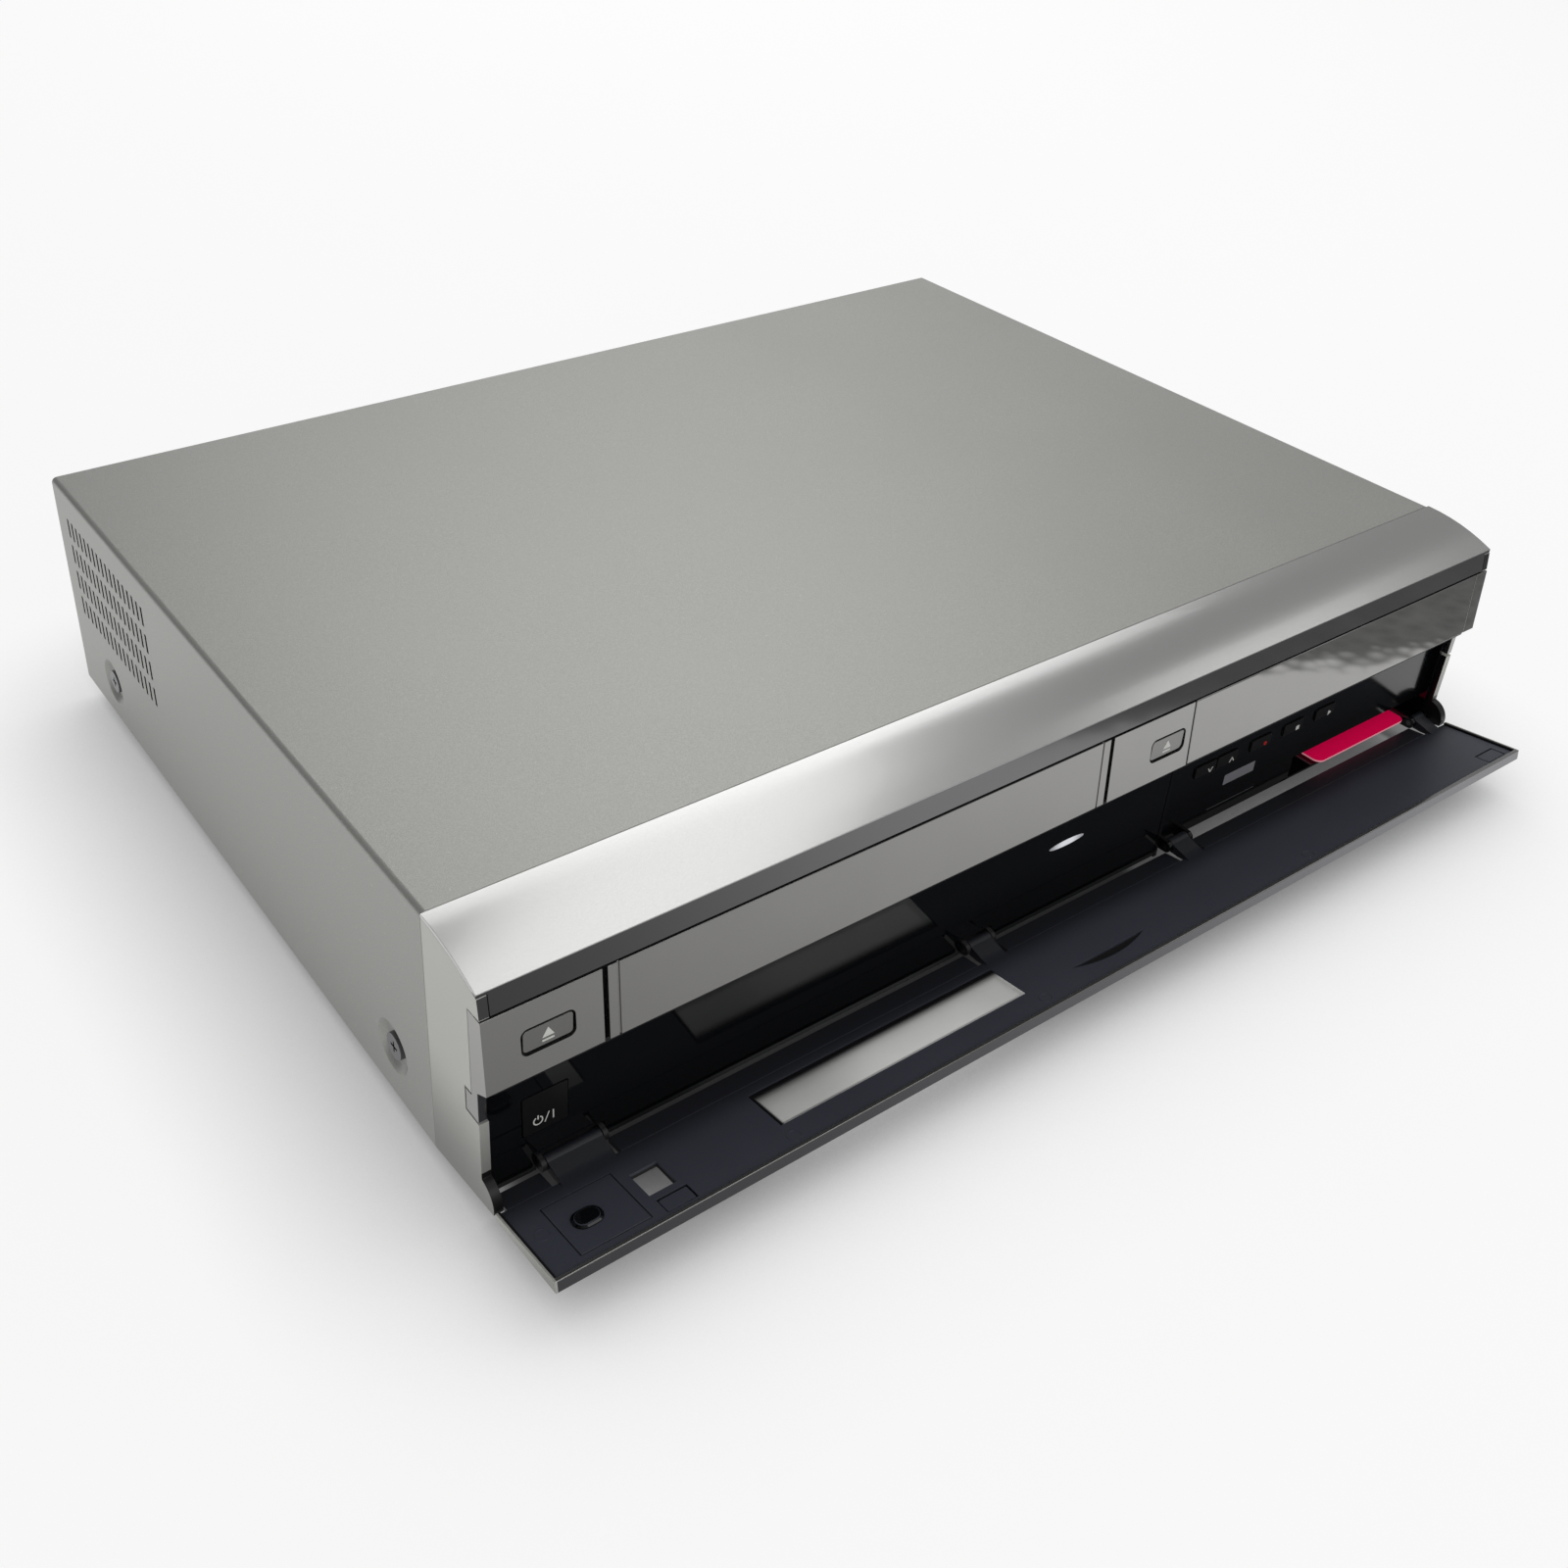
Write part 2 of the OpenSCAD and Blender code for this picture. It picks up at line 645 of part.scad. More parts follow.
module cheek_section() difference() {
  intersection() {
    polygon(concat([[0, body_h], [edge_y, body_h], [edge_y, edge_z], [band_y, band_z - joint_gap],
      [-cheek_y, band_z - joint_gap]], bulge_arc, [[axis_y, 0], [0, 0]]));
    polygon([[0, skirt_z], [-chin_y, chin_z], [-chin_y, body_h], [0, body_h]]);
    translate([0, arc_z]) circle(trim_r - trim_t - 0.05);
  }
  polygon([[-60, fascia_top + joint_gap], [-seam_y, fascia_top + joint_gap], [-seam_y, tab_z[1]],
    [-tab_y, tab_z[1]], [-tab_y, tab_z[0]], [-60, tab_z[0]]]);
}

module cheek() along_x([half_w - cheek_t, half_w]) cheek_section();

module right_cheek() color("lightgray") placed() cheek();

module left_cheek() color("lightgray") placed() mirror([1, 0, 0]) cheek();

// Upper fascia
module fascia_section()
  polygon([[fascia_y, fascia_top], [tip_y, fascia_low], [tip_y + fascia_t, fascia_low],
    [fascia_y + fascia_t, fascia_top]]);

module fascia_return() along_x([half_w - cheek_t + 2 * joint_gap, half_w])
  polygon([[fascia_y, fascia_top], [tip_y, fascia_low], [-cheek_y + joint_gap, soffit[0] - joint_gap],
    [-cheek_y + joint_gap, tab_z[0] + 0.8], [-tab_y - 0.7, tab_z[0] + 0.8], [-tab_y - 0.7, tab_z[1] - 0.6],
    [-seam_y - joint_gap, tab_z[1] - 0.6], [-seam_y - joint_gap, fascia_top]]);

module fascia_posts(xs) for (x = xs, z = [fascia_low + 4, fascia_top - 4])
  rod_y(x, [back_y(z) - 1, wall[0]], z, 2);

module eject_hole(x)
  key_block(x, [tip_y - cut, wall[0] - 2], eject_z, eject_w + 2 * key_gap, eject_h + 2 * key_gap, 1.5);

module eject_panel() color("dimgray") placed() difference() {
  union() {
    along_x([-half_w, eject_x1]) fascia_section();
    mirror([1, 0, 0]) fascia_return();
    fascia_posts([eject_x1 - 4, eject_x1 - 30]);
  }
  eject_hole(tape_eject_x);
}

module middle_panel() color("dimgray") placed() difference() {
  union() {
    along_x(middle_x) fascia_section();
    fascia_posts([middle_x[0] + 4, middle_x[0] + 12]);
  }
  eject_hole(disc_eject_x);
}

module end_panel() color("dimgray") placed() {
  along_x([end_x0, half_w]) fascia_section();
  fascia_return();
}

// Cassette door on two arms with pins
module door_arm() union() {
  root = fascia_top - 6;
  translate([door_axis[0], door_axis[1]]) circle(door_barrel_r);
  polygon([[door_axis[0] - door_barrel_r, door_axis[1]], [door_axis[0] + door_barrel_r, door_axis[1]],
    [door_axis[0] + door_barrel_r, fascia_top - 2], [back_y(root), root], [back_y(root) - 0.5, root],
    [back_y(fascia_top) - 0.5, fascia_top - 0.2]]);
}

module cassette_door() color("gray") placed() {
  x0 = slot_x0 + joint_gap;
  x1 = slot_x1 - joint_gap;
  difference() {
    along_x([x0, x1]) fascia_section();
    for (x = [x0 + groove_inset, x1 - groove_inset - groove_w])
      along_x([x, x + groove_w]) polygon([[face_y(fascia_top + cut) + groove_d, fascia_top + cut],
        [face_y(fascia_low - cut) + groove_d, fascia_low - cut], [tip_y - cut, fascia_low - cut],
        [tip_y - cut, fascia_top + cut]]);
  }
  for (x = [x0, x1 - door_arm_w]) along_x([x, x + door_arm_w]) door_arm();
  rod_x([x0 - 1.2, x0 + 1], door_axis[0], door_axis[1], door_pin_r);
  rod_x([x1 - 1, x1 + 1.2], door_axis[0], door_axis[1], door_pin_r);
}

module tray_front() color("gray") placed() along_x([tray_x0, tray_x1]) fascia_section();

// Gloss black panel left of the step
module lower_panel() color("#101014") placed() difference() {
  block([-inner_w, step_x], panel_y, panel_z);
  for (i = [0, 1]) arm_notch(arms[i], [panel_y[0] - cut, panel_y[1] + cut]);
  key_block(power_x, [panel_y[0] - cut, panel_y[1] + cut], power_z, power_w + 2 * key_gap,
    power_w + 2 * key_gap, 0.8);
}

// Sunken panel with the small keys, the card slots and two hinge lugs
module control_panel() color("#18181a") placed() {
  difference() {
    union() {
      block(ctrl_x, [ctrl_y, ctrl_y + ctrl_t], [shelf_z, panel_z[1]]);
      block(ctrl_x, [ctrl_y, well_y + ctrl_t], [shelf_z, shelf_z + ctrl_t]);
      block(ctrl_x, [well_y, well_y + ctrl_t], [ctrl_low, shelf_z + ctrl_t]);
      block([ctrl_x[0], ctrl_x[0] + ctrl_t], [panel_y[0], well_y + ctrl_t], [ctrl_low, panel_z[1]]);
      block([ctrl_x[1] - ctrl_t, ctrl_x[1]], [panel_y[0], well_y + ctrl_t],
        [axis_z + barrel_r + 2, panel_z[1]]);
    }
    for (x = small_keys)
      key_block(x, [ctrl_y - cut, ctrl_y + ctrl_t + cut], small_key_z, key_w + 2 * key_gap,
        key_h + 2 * key_gap, 1);
    block([card_x - card_w / 2 - 1, card_x + card_w / 2 + 0.4], [well_y - cut, well_y + ctrl_t + cut],
      [card_z - 0.8, card_z + card_t + 0.8]);
    block(small_slot_x, [well_y - cut, well_y + ctrl_t + cut], [card_z - 0.7, card_z + 2]);
  }
  for (i = [2, 3]) lugs(arms[i], well_y + ctrl_t / 2);
  for (x = key_posts, z = [key_board_z[0] + 3, key_board_z[1] - 3])
    rod_y(x, [ctrl_y + ctrl_t / 2, key_board_y[0]], z, 2.5);
}

module display_tube() color("#20302c") placed()
  block(display_x, [wall[0], front_board_y[0]], display_z);

// Front circuit boards with their key switches
module front_board() color("darkgreen") placed() {
  block(front_board_x, front_board_y, front_board_z);
  block(around(power_x, switch_w / 2), [front_board_y[0] - switch_t, front_board_y[0]],
    around(power_z, switch_w / 2));
  block(key_board_x, key_board_y, key_board_z);
  for (x = small_keys)
    block(around(x, switch_w / 2), [key_board_y[0] - switch_t, key_board_y[0]], around(small_key_z, 2));
}

// Flap, in its own frame while closed
module opened()
  translate([0, axis_y, axis_z]) rotate([flap_swing, 0, 0]) translate([0, -axis_y, -axis_z]) children();

module grip(y) translate([0, y[1], flap_z0 + 23 - grip_r]) rotate([90, 0, 0]) linear_extrude(y[1] - y[0])
  intersection() {
    circle(grip_r);
    translate([-grip_w / 2, grip_r - 3.4]) square([grip_w, 4]);
  }

module window_hole(y, inset)
  block([window_x[0] + inset, window_x[1] - inset], y, [window_z[0] + inset, window_z[1] - inset]);

module flap_shell() color("silver") placed() opened() difference() {
  along_x([-half_w, half_w])
    polygon([[rim_y, flap_z0], [rim_y - flap_low_t, flap_z0], [rim_y - flap_t, flap_z1], [rim_y, flap_z1]]);
  block([-half_w + rim_t, half_w - rim_t], [liner_y[0], rim_y + cut], [flap_z0 - cut, flap_z1 - rim_t]);
  window_hole(flap_through, window_ledge);
  block([flap_key_x[0] + key_ledge, flap_key_x[1] - key_ledge], flap_through,
    [flap_key_z[0] + key_ledge, flap_key_z[1] - key_ledge]);
  block(latch_x, flap_through, latch_z);
  for (a = arms) block(around(a[0], a[1] / 2 + lug_gap), flap_through, [flap_z0 - cut, flap_z0 + 2]);
}

module hinge_arm() difference() {
  union() {
    translate([axis_y, axis_z]) circle(barrel_r);
    polygon([[liner_y[0], flap_z0 + 2], [liner_y[1], flap_z0 + 2], [rim_y + 0.5, flap_z0 - 1.5],
      [axis_y + 1.2, axis_z + 1.6], [axis_y - barrel_r, axis_z], [liner_y[0], flap_z0 - 3]]);
  }
  translate([axis_y, axis_z]) circle(hinge_pin_r + run_fit);
}

module flap_liner() color("#222226") placed() opened() {
  difference() {
    block(around(0, half_w - rim_t - joint_gap), liner_y, [flap_z0, flap_z1 - rim_t - joint_gap]);
    window_hole([liner_y[0] - cut, 0], -joint_gap);
    block(flap_key_x, [liner_y[0] - cut, 0], flap_key_z);
    block(latch_x, [liner_y[0] - cut, 0], latch_z);
    block(tab_recess_x, [liner_y[1] - recess_d, 0], tab_recess_z);
    block(end_recess_x, [liner_y[1] - recess_d, 0], end_recess_z);
    grip([liner_y[0] - cut, 0]);
  }
  for (a = arms) along_x([a[0] - a[1] / 2, a[0] + a[1] / 2]) hinge_arm();
}

// Strips of the flap between its arms, up to the hinge line
strip_ends = concat([-inner_w + 2 * joint_gap], [for (a = arms) each notch_x(a)]);

module flap_edge() color("#222226") placed() opened() for (i = [0 : len(arms) - 1])
  block([strip_ends[2 * i], strip_ends[2 * i + 1]], [rim_y - flap_low_t, liner_y[1]], [flap_foot_z, flap_z0]);

module flap_window() color("#a0a8b0", 0.4) placed() opened() window_hole([liner_y[0], liner_y[1] - 0.2], 0);

module flap_key() color("#2a2a2e") placed() opened() {
  x = (flap_key_x[0] + flap_key_x[1]) / 2;
  inset = key_ledge + key_gap;
  block([flap_key_x[0] + key_gap, flap_key_x[1] - key_gap], liner_y,
    [flap_key_z[0] + key_gap, flap_key_z[1] - key_gap]);
  block([flap_key_x[0] + inset, flap_key_x[1] - inset], [rim_y - flap_low_t - 0.2, liner_y[0]],
    [flap_key_z[0] + inset, flap_key_z[1] - inset]);
  along_y([liner_y[1] - 0.1, liner_y[1] + 0.8]) translate([x - 2.7, (flap_key_z[0] + flap_key_z[1]) / 2])
    round_rect(7.5, 5.5, 2.7);
}

module hinge_pins() color("silver") placed() for (a = arms)
  rod_x([a[0] - a[1] / 2 - lug_gap - lug_t, a[0] + a[1] / 2 + lug_gap + lug_t], axis_y, axis_z, hinge_pin_r);

// Keys
module eject_key(x) {
  back = back_y(eject_z + eject_h / 2);
  key_block(x, [face_y(eject_z + eject_h / 2), back + 1], eject_z, eject_w, eject_h, 1.2);
  key_block(x, [back + 0.5, back + 1.5], eject_z, eject_w + 2 * flange_w, eject_h + 2 * flange_w, 1.2);
  key_block(x, [back + 1, wall[0] - switch_t - key_travel - joint_gap], eject_z, stem_w, stem_h, 1);
}

module tape_eject_key() color("#303034") placed() eject_key(tape_eject_x);

module disc_eject_key() color("#303034") placed() eject_key(disc_eject_x);

module power_key() color("#28282c") placed() {
  key_block(power_x, [panel_y[0] - 0.3, panel_y[1] + 0.4], power_z, power_w, power_w, 0.6);
  key_block(power_x, [panel_y[1] + 0.3, panel_y[1] + 1.3], power_z, power_w + 2 * flange_w,
    power_w + 2 * flange_w, 0.6);
  key_block(power_x, [panel_y[1] + 1, front_board_y[0] - switch_t - key_travel - joint_gap], power_z,
    stem_w, stem_h, 1);
}

module small_key(x) {
  back = ctrl_y + ctrl_t;
  key_block(x, [ctrl_y - key_proud, back + 0.5], small_key_z, key_w, key_h, 0.8);
  key_block(x, [back + 0.3, back + 1.2], small_key_z, key_w, key_h + 2 * flange_w, 0.8);
  key_block(x, [back + 1, key_board_y[0] - switch_t - key_travel - joint_gap], small_key_z, 4, 3, 0.8);
}

module channel_down_key() color("#2c2c30") placed() small_key(small_keys[0]);

module channel_up_key() color("#2c2c30") placed() small_key(small_keys[1]);

module record_key() color("#2c2c30") placed() small_key(small_keys[2]);

module stop_key() color("#2c2c30") placed() small_key(small_keys[3]);

module play_key() color("#2c2c30") placed() small_key(small_keys[4]);

// Access card and its reader
module access_card() color("crimson") placed() translate([card_x, card_y + card_l / 2, card_z])
  linear_extrude(card_t) round_rect(card_w, card_l, card_corner);

module card_reader() color("silver") placed() difference() {
  block(around(card_x, card_w / 2 + reader_wall), [well_y + ctrl_t, reader_end],
    [floor_z, card_z + card_t + reader_wall]);
  block(around(card_x, card_w / 2 + joint_gap), [well_y, card_y + card_l + joint_gap],
    [card_z - card_gap, card_z + card_t + card_gap]);
  block(around(card_x, card_w / 2 + reader_wall + cut), [well_y, pan_t + joint_gap],
    [0, panel_z[0] + frame_t + joint_gap]);
}

// Tape deck
module deck_plate() color("lightgray") placed() difference() {
  union() {
    block(deck_x, deck_y, deck_z);
    for (x = [deck_x[0] + 8, deck_x[1] - 8], y = [deck_y[0] + 8, deck_y[1] - 8])
      rod_z(x, y, [floor_z, deck_z[0] + 0.5], 4);
    for (s = [-1, 1]) rod_z(slot_x + s * reel_dx, reel_y, [deck_z[0], deck_z[1] + 13], reel_pin_r);
    rod_z(capstan_x, capstan_y, [deck_z[0] - capstan_boss, deck_z[1] + 10], 6);
  }
  rod_z(capstan_x, capstan_y, [0, body_h], capstan_r + run_fit);
}

module on_drum() translate([slot_x, drum_y, drum_z]) rotate([drum_tilt, 0, 0]) children();

module drum_base() color("silver") placed() {
  on_drum() {
    cylinder(h = drum_h, r = drum_r);
    cylinder(h = 2 * drum_h - 3, r = drum_pin_r);
  }
  for (a = [90, 210, 330])
    rod_z(slot_x + 22 * cos(a), drum_y + 22 * sin(a), [deck_z[1], drum_z + 6], 4);
}

module head_drum() color("gainsboro") placed() on_drum() difference() {
  translate([0, 0, drum_h + drum_gap]) cylinder(h = drum_h, r = drum_r);
  translate([0, 0, drum_h]) cylinder(h = 2 * drum_h, r = drum_pin_r + run_fit);
  for (a = [0, 180]) rotate(a) translate([drum_r - 4, -2, drum_h + drum_gap - cut]) cube([6, 4, cut + 2]);
}

module reel(s) translate([slot_x + s * reel_dx, reel_y, deck_z[1] + joint_gap]) difference() {
  union() {
    cylinder(h = 3, r = reel_r);
    cylinder(h = 11, r = 6);
    for (a = [0, 120, 240]) rotate(a) translate([5, -0.8, 3]) cube([3.4, 1.6, 7]);
  }
  translate([0, 0, -cut]) cylinder(h = 20, r = reel_pin_r + run_fit);
}

module supply_reel() color("#303030") placed() reel(-1);

module takeup_reel() color("#303030") placed() reel(1);

module capstan() color("silver") placed() {
  rod_z(capstan_x, capstan_y, [floor_z + 4, deck_z[1] + 30], capstan_r);
  rod_z(capstan_x, capstan_y, [floor_z + 4, deck_z[0] - capstan_boss - 2 * joint_gap], flywheel_r);
}

module tape_guides() color("silver") placed() {
  for (p = [[-42, 166], [-38, 200], [36, 168], [40, 203]]) {
    rod_z(slot_x + p[0], p[1], [deck_z[1], deck_z[1] + 6], 4.5);
    rod_z(slot_x + p[0], p[1], [deck_z[1], deck_z[1] + 26], 2.5);
    rod_z(slot_x + p[0], p[1], [deck_z[1] + 26, deck_z[1] + 28], 4);
  }
  block([slot_x - 64, slot_x - 54], [176, 184], [deck_z[1], deck_z[1] + 24]);
  block([slot_x + 62, slot_x + 76], [182, 192], [deck_z[1], deck_z[1] + 26]);
}

module loading_motor() color("silver") placed() {
  x = deck_x[0] + 16;
  z = deck_z[1] + 13;
  block([x - 11, x + 11], [182, 184], [deck_z[1], z + 11]);
  rod_y(x, [184, 212], z, 10);
  rod_y(x, [170, 184], z, 1.2);
  rod_y(x, [172, 180], z, 3);
}

// Side plates of the cassette carriage, with level guide slots
module carriage_frame() color("lightgray") placed() for (s = [-1, 1]) difference() {
  block(slab(s, rail_d, rail_t), rail_y, [deck_z[1], slider_z[1]]);
  for (y = slider_pins)
    slot_x_cut(slab(s, rail_d, rail_t), [y, y + carriage_travel], slider_pin_z);
}

// Slot with round ends, run through a side plate along y
module slot_x_cut(x, y, z) {
  r = carriage_pin_r + run_fit;
  block([x[0] - cut, x[1] + cut], y, [z - r, z + r]);
  for (e = y) rod_x([x[0] - cut, x[1] + cut], e, z, r);
}

// Plates that travel inwards, with upright slots for the basket
module carriage_slider() color("gainsboro") placed() {
  for (s = [-1, 1]) {
    x = slab(s, slider_gap, slider_t);
    difference() {
      block(x, slider_y, slider_z);
      for (y = basket_pins) {
        r = carriage_pin_r + run_fit;
        block([x[0] - cut, x[1] + cut], [y - r, y + r], [basket_pin_z - basket_drop, basket_pin_z]);
        for (z = [basket_pin_z - basket_drop, basket_pin_z]) rod_x([x[0] - cut, x[1] + cut], y, z, r);
      }
    }
    pin = slab(s, slider_gap + slider_t - pin_root, slider_gap + rail_t + pin_root);
    for (y = slider_pins) rod_x(pin, y, slider_pin_z, carriage_pin_r);
  }
  block([basket_x[0] - slider_gap - slider_t / 2, basket_x[1] + slider_gap + slider_t / 2], [62, 68],
    [slider_z[1] - 2, slider_z[1]]);
}

module cassette_basket() color("silver") placed() {
  for (s = [-1, 1]) {
    side = slab(s, -basket_t, basket_t);
    ledge = slab(s, -ledge_w, ledge_w);
    pin = slab(s, -pin_root, slider_gap + slider_t + pin_root);
    block(side, basket_y, basket_z);
    block(ledge, basket_y, [basket_z[0], basket_z[0] + basket_t]);
    for (y = basket_pins) rod_x(pin, y, basket_pin_z, carriage_pin_r);
  }
  block(basket_x, [basket_y[0] + 2, basket_y[0] + 60], [basket_z[1] - basket_t, basket_z[1]]);
}

// Disc drive
module drive_frame() color("silver") placed() difference() {
  union() {
    block(drive_x, drive_y, [drive_z[0], drive_z[0] + drive_t]);
    for (x = [[drive_x[0], plate_x[0] - 0.3], [plate_x[1] + 0.3, drive_x[1]]])
      block(x, drive_y, [drive_z[0], drive_z[1] - drive_t]);
    for (x = [[plate_x[0] - 1, plate_x[0] + 1.2], [plate_x[1] - 5, plate_x[1] + 1]])
      block(x, drive_y, [drive_z[0], plate_z[0] - 0.1]);
    rod_z(gear_x, gear_y, [drive_z[0], gear_z[1] - 0.2], gear_pin_r);
    for (s = [-1, 1], y = rod_y_span)
      block([tray_x + s * rod_dx - 4, tray_x + s * rod_dx + 4], [y - 3, y + 3], [drive_z[0], rod_z0 + 3]);
    rod_z(tray_x, disc_y, [drive_z[0], drive_z[0] + motor_h], motor_r);
    rod_z(tray_x, disc_y, [drive_z[0], plate_z[0] - 1.4], spindle_pin_r);
    for (x = [drive_x[0] + 4, drive_x[1] - 4], y = drive_post_ys)
      rod_z(x, y, [floor_z, drive_z[0] + 0.5], drive_post_r);
  }
  for (s = [-1, 1]) rod_y(tray_x + s * rod_dx, rod_y_span, rod_z0, rod_r + run_fit / 2);
}

module drive_lid() color("lightgray") placed() {
  block(drive_x, drive_y, [drive_z[1] - drive_t, drive_z[1]]);
  rod_z(tray_x, disc_y, [plate_z[1] + 4, drive_z[1] - drive_t / 2], 5);
  rod_z(tray_x, disc_y, [plate_z[1] + 1.5, plate_z[1] + 5], 14);
}

module disc_tray() color("#2a2a2c") placed() {
  difference() {
    union() {
      block(plate_x, plate_y, plate_z);
      along_x([plate_x[0] + 6, plate_x[1] - 6])
        polygon([[plate_y[0] + 1, plate_z[0]], [back_y(plate_z[0]), plate_z[0]],
          [back_y(plate_z[1]), plate_z[1]], [plate_y[0] + 1, plate_z[1]]]);
    }
    rod_z(tray_x, disc_y, [plate_z[1] - 1.5, plate_z[1] + cut], disc_recess_r);
    rod_z(tray_x, disc_y, [plate_z[1] - 2.2, plate_z[1] + cut], 40.5);
    rod_z(tray_x, disc_y, [plate_z[0] - cut, plate_z[1] + cut], 18);
    block([tray_x - 18, tray_x + 18], [disc_y, disc_y + 58], [plate_z[0] - cut, plate_z[1] + cut]);
  }
  block([rack_x - 1.1, rack_x], [gear_y - 8, plate_y[1]], rack_z);
  rack_pitch = PI * gear_module;
  for (i = [-1:floor((plate_y[1] - gear_y) / rack_pitch) - 1])
    translate([rack_x - 0.01, gear_y + (i + 0.5) * rack_pitch, rack_z[0]])
      linear_extrude(rack_z[1] - rack_z[0]) tooth_outline(2.1 * gear_module);
}

// One tooth along +x, thinned by the backlash, its root at x = 0
module tooth_outline(depth) {
  root = PI * gear_module / 4 + 0.36 * 1.2 * gear_module - gear_backlash / 2;
  tip = PI * gear_module / 4 - 0.36 * 0.9 * gear_module - gear_backlash / 2;
  polygon([[0, -root], [depth, -tip], [depth, tip], [0, root]]);
}

module tray_gear() color("white") placed() translate([gear_x, gear_y, gear_z[0]]) difference() {
  union() {
    cylinder(h = gear_z[1] - gear_z[0], r = gear_r - 1.25 * gear_module);
    for (i = [0:gear_teeth - 1]) rotate(180 + i * 360 / gear_teeth)
      translate([gear_r - 1.3 * gear_module, 0, 0])
        linear_extrude(gear_z[1] - gear_z[0]) tooth_outline(2.2 * gear_module);
  }
  translate([0, 0, -cut]) cylinder(h = 20, r = gear_pin_r + run_fit);
}

module turntable() color("#303034") placed()
  translate([tray_x, disc_y, drive_z[0] + motor_h + joint_gap]) difference() {
  union() {
    cylinder(h = plate_z[0] - drive_z[0] - 7.6, r = spindle_r);
    cylinder(h = plate_z[0] - drive_z[0] - 6.2, r = 7);
  }
  translate([0, 0, -cut]) cylinder(h = 20, r = spindle_pin_r + run_fit);
}

module pickup_sled() color("#505058") placed() difference() {
  union() {
    block([tray_x - rod_dx - 5, tray_x + rod_dx + 5], sled_y, [rod_z0 - 2.6, rod_z0 + 2.6]);
    rod_z(tray_x, sled_y[0] + 8, [rod_z0, rod_z0 + 4.4], 4);
  }
  for (s = [-1, 1]) rod_y(tray_x + s * rod_dx, [0, 200], rod_z0, rod_r + run_fit);
}

module sled_rods() color("silver") placed()
  for (s = [-1, 1]) rod_y(tray_x + s * rod_dx, rod_y_span, rod_z0, rod_r);

// Hard disk on two folded brackets
module hard_disk() color("silver") placed() {
  block(disk_x, disk_y, disk_z);
  for (x = [disk_x[0] + 8, disk_x[1] - 8 - bracket_w], y = bracket_ys)
    block([x, x + bracket_w], [y, y + bracket_t], [floor_z, disk_z[0]]);
}

module board(x, y, z, leg_r) {
  block(x, y, z);
  for (px = [x[0] + 6, x[1] - 6], py = [y[0] + 6, y[1] - 6]) rod_z(px, py, [floor_z, z[0] + 0.4], leg_r);
}

module main_board() color("seagreen") placed() {
  board(main_x, main_y, main_z, 3);
  for (p = [[26, 14, 24], [76, 28, 32], [126, 20, 28], [154, 50, 20]])
    translate([main_x[0] + p[0], main_y[0] + p[1], main_z[1] - 0.2]) cube([p[2], p[2], chip_h + 0.2]);
}

module power_board() color("olive") placed() {
  board(psu_x, psu_y, psu_z, 3);
  on_top = psu_z[1] - 0.2;
  block(around(psu_x[0] + 69, 16), around(psu_row, 7.5), [on_top, psu_z[1] + 28]);
  for (p = [[39, 7.5], [97, 6], [111, 6]])
    rod_z(psu_x[0] + p[0], psu_row, [on_top, psu_z[1] + 26], p[1]);
  block(around(psu_x[0] + 16, 11), around(psu_row, 2), [on_top, psu_z[1] + 34]);
  block([psu_x[0] + 40, psu_x[1] - 10], around(psu_y[1] - 4, 2), [on_top, psu_z[1] + 20]);
}

// Tuner can with its screw sockets
module tuner() color("silver") placed() {
  block(tuner_x, tuner_y, tuner_z);
  for (x = tuner_pins) difference() {
    rod_y(x, [rear_y[0] - 0.5, rear_y[1] + jack_reach], tuner_pin_z, jack_r);
    rod_y(x, [rear_y[1] + 2, rear_y[1] + jack_reach + cut], tuner_pin_z, 1.2);
  }
}

// Round and square sockets on one upright board
module rear_jacks() color("#202020") placed() {
  block([jack_x0 - 8, socket_xs[1] + socket_w], [jack_board_y - board_t, jack_board_y],
    [floor_z, jack_zs[1] + 8]);
  for (c = [0:jack_columns - 1], z = jack_zs) {
    x = jack_x0 + c * jack_pitch;
    block(around(x, jack_body_w / 2), [jack_board_y - 0.2, rear_y[0]], around(z, jack_body_w / 2));
    difference() {
      rod_y(x, [rear_y[0] - 0.5, rear_y[1] + jack_reach - 1], z, jack_r);
      rod_y(x, [rear_y[1], rear_y[1] + jack_reach], z, jack_bore_r);
    }
  }
  for (x = socket_xs) difference() {
    block(around(x, socket_w / 2), [jack_board_y - 0.2, rear_y[1] + 0.8], around(jack_zs[0], socket_h / 2));
    block(around(x, socket_w / 2 - 0.8), [rear_y[0] - 4, rear_y[1] + 2], around(jack_zs[0], 1.8));
  }
}

module ac_inlet() color("#181818") placed() difference() {
  block(around(inlet_x, inlet_w / 2), [rear_y[0] - 12, rear_y[1] + 1], around(inlet_z, inlet_h / 2));
  block(around(inlet_x, inlet_w / 2 - 3), [rear_y[0] - 9, rear_y[1] + 2], around(inlet_z, inlet_h / 2 - 5));
}

module cooling_fan() color("#26262a") placed() {
  difference() {
    block(around(fan_x, fan_w / 2), fan_y, around(fan_z, fan_w / 2));
    rod_y(fan_x, [fan_y[0] - cut, fan_y[1] + cut], fan_z, fan_r);
  }
  for (a = [45, 135, 225]) translate([fan_x, fan_y[0], fan_z]) rotate([0, a, 0])
    block([0, fan_r + 1], [0, fan_web_t], around(0, fan_pin_r));
  rod_y(fan_x, [fan_y[0], fan_y[0] + fan_web_t], fan_z, fan_hub_r - 1);
  rod_y(fan_x, [fan_y[0], fan_y[0] + fan_hub_h], fan_z, fan_pin_r);
}

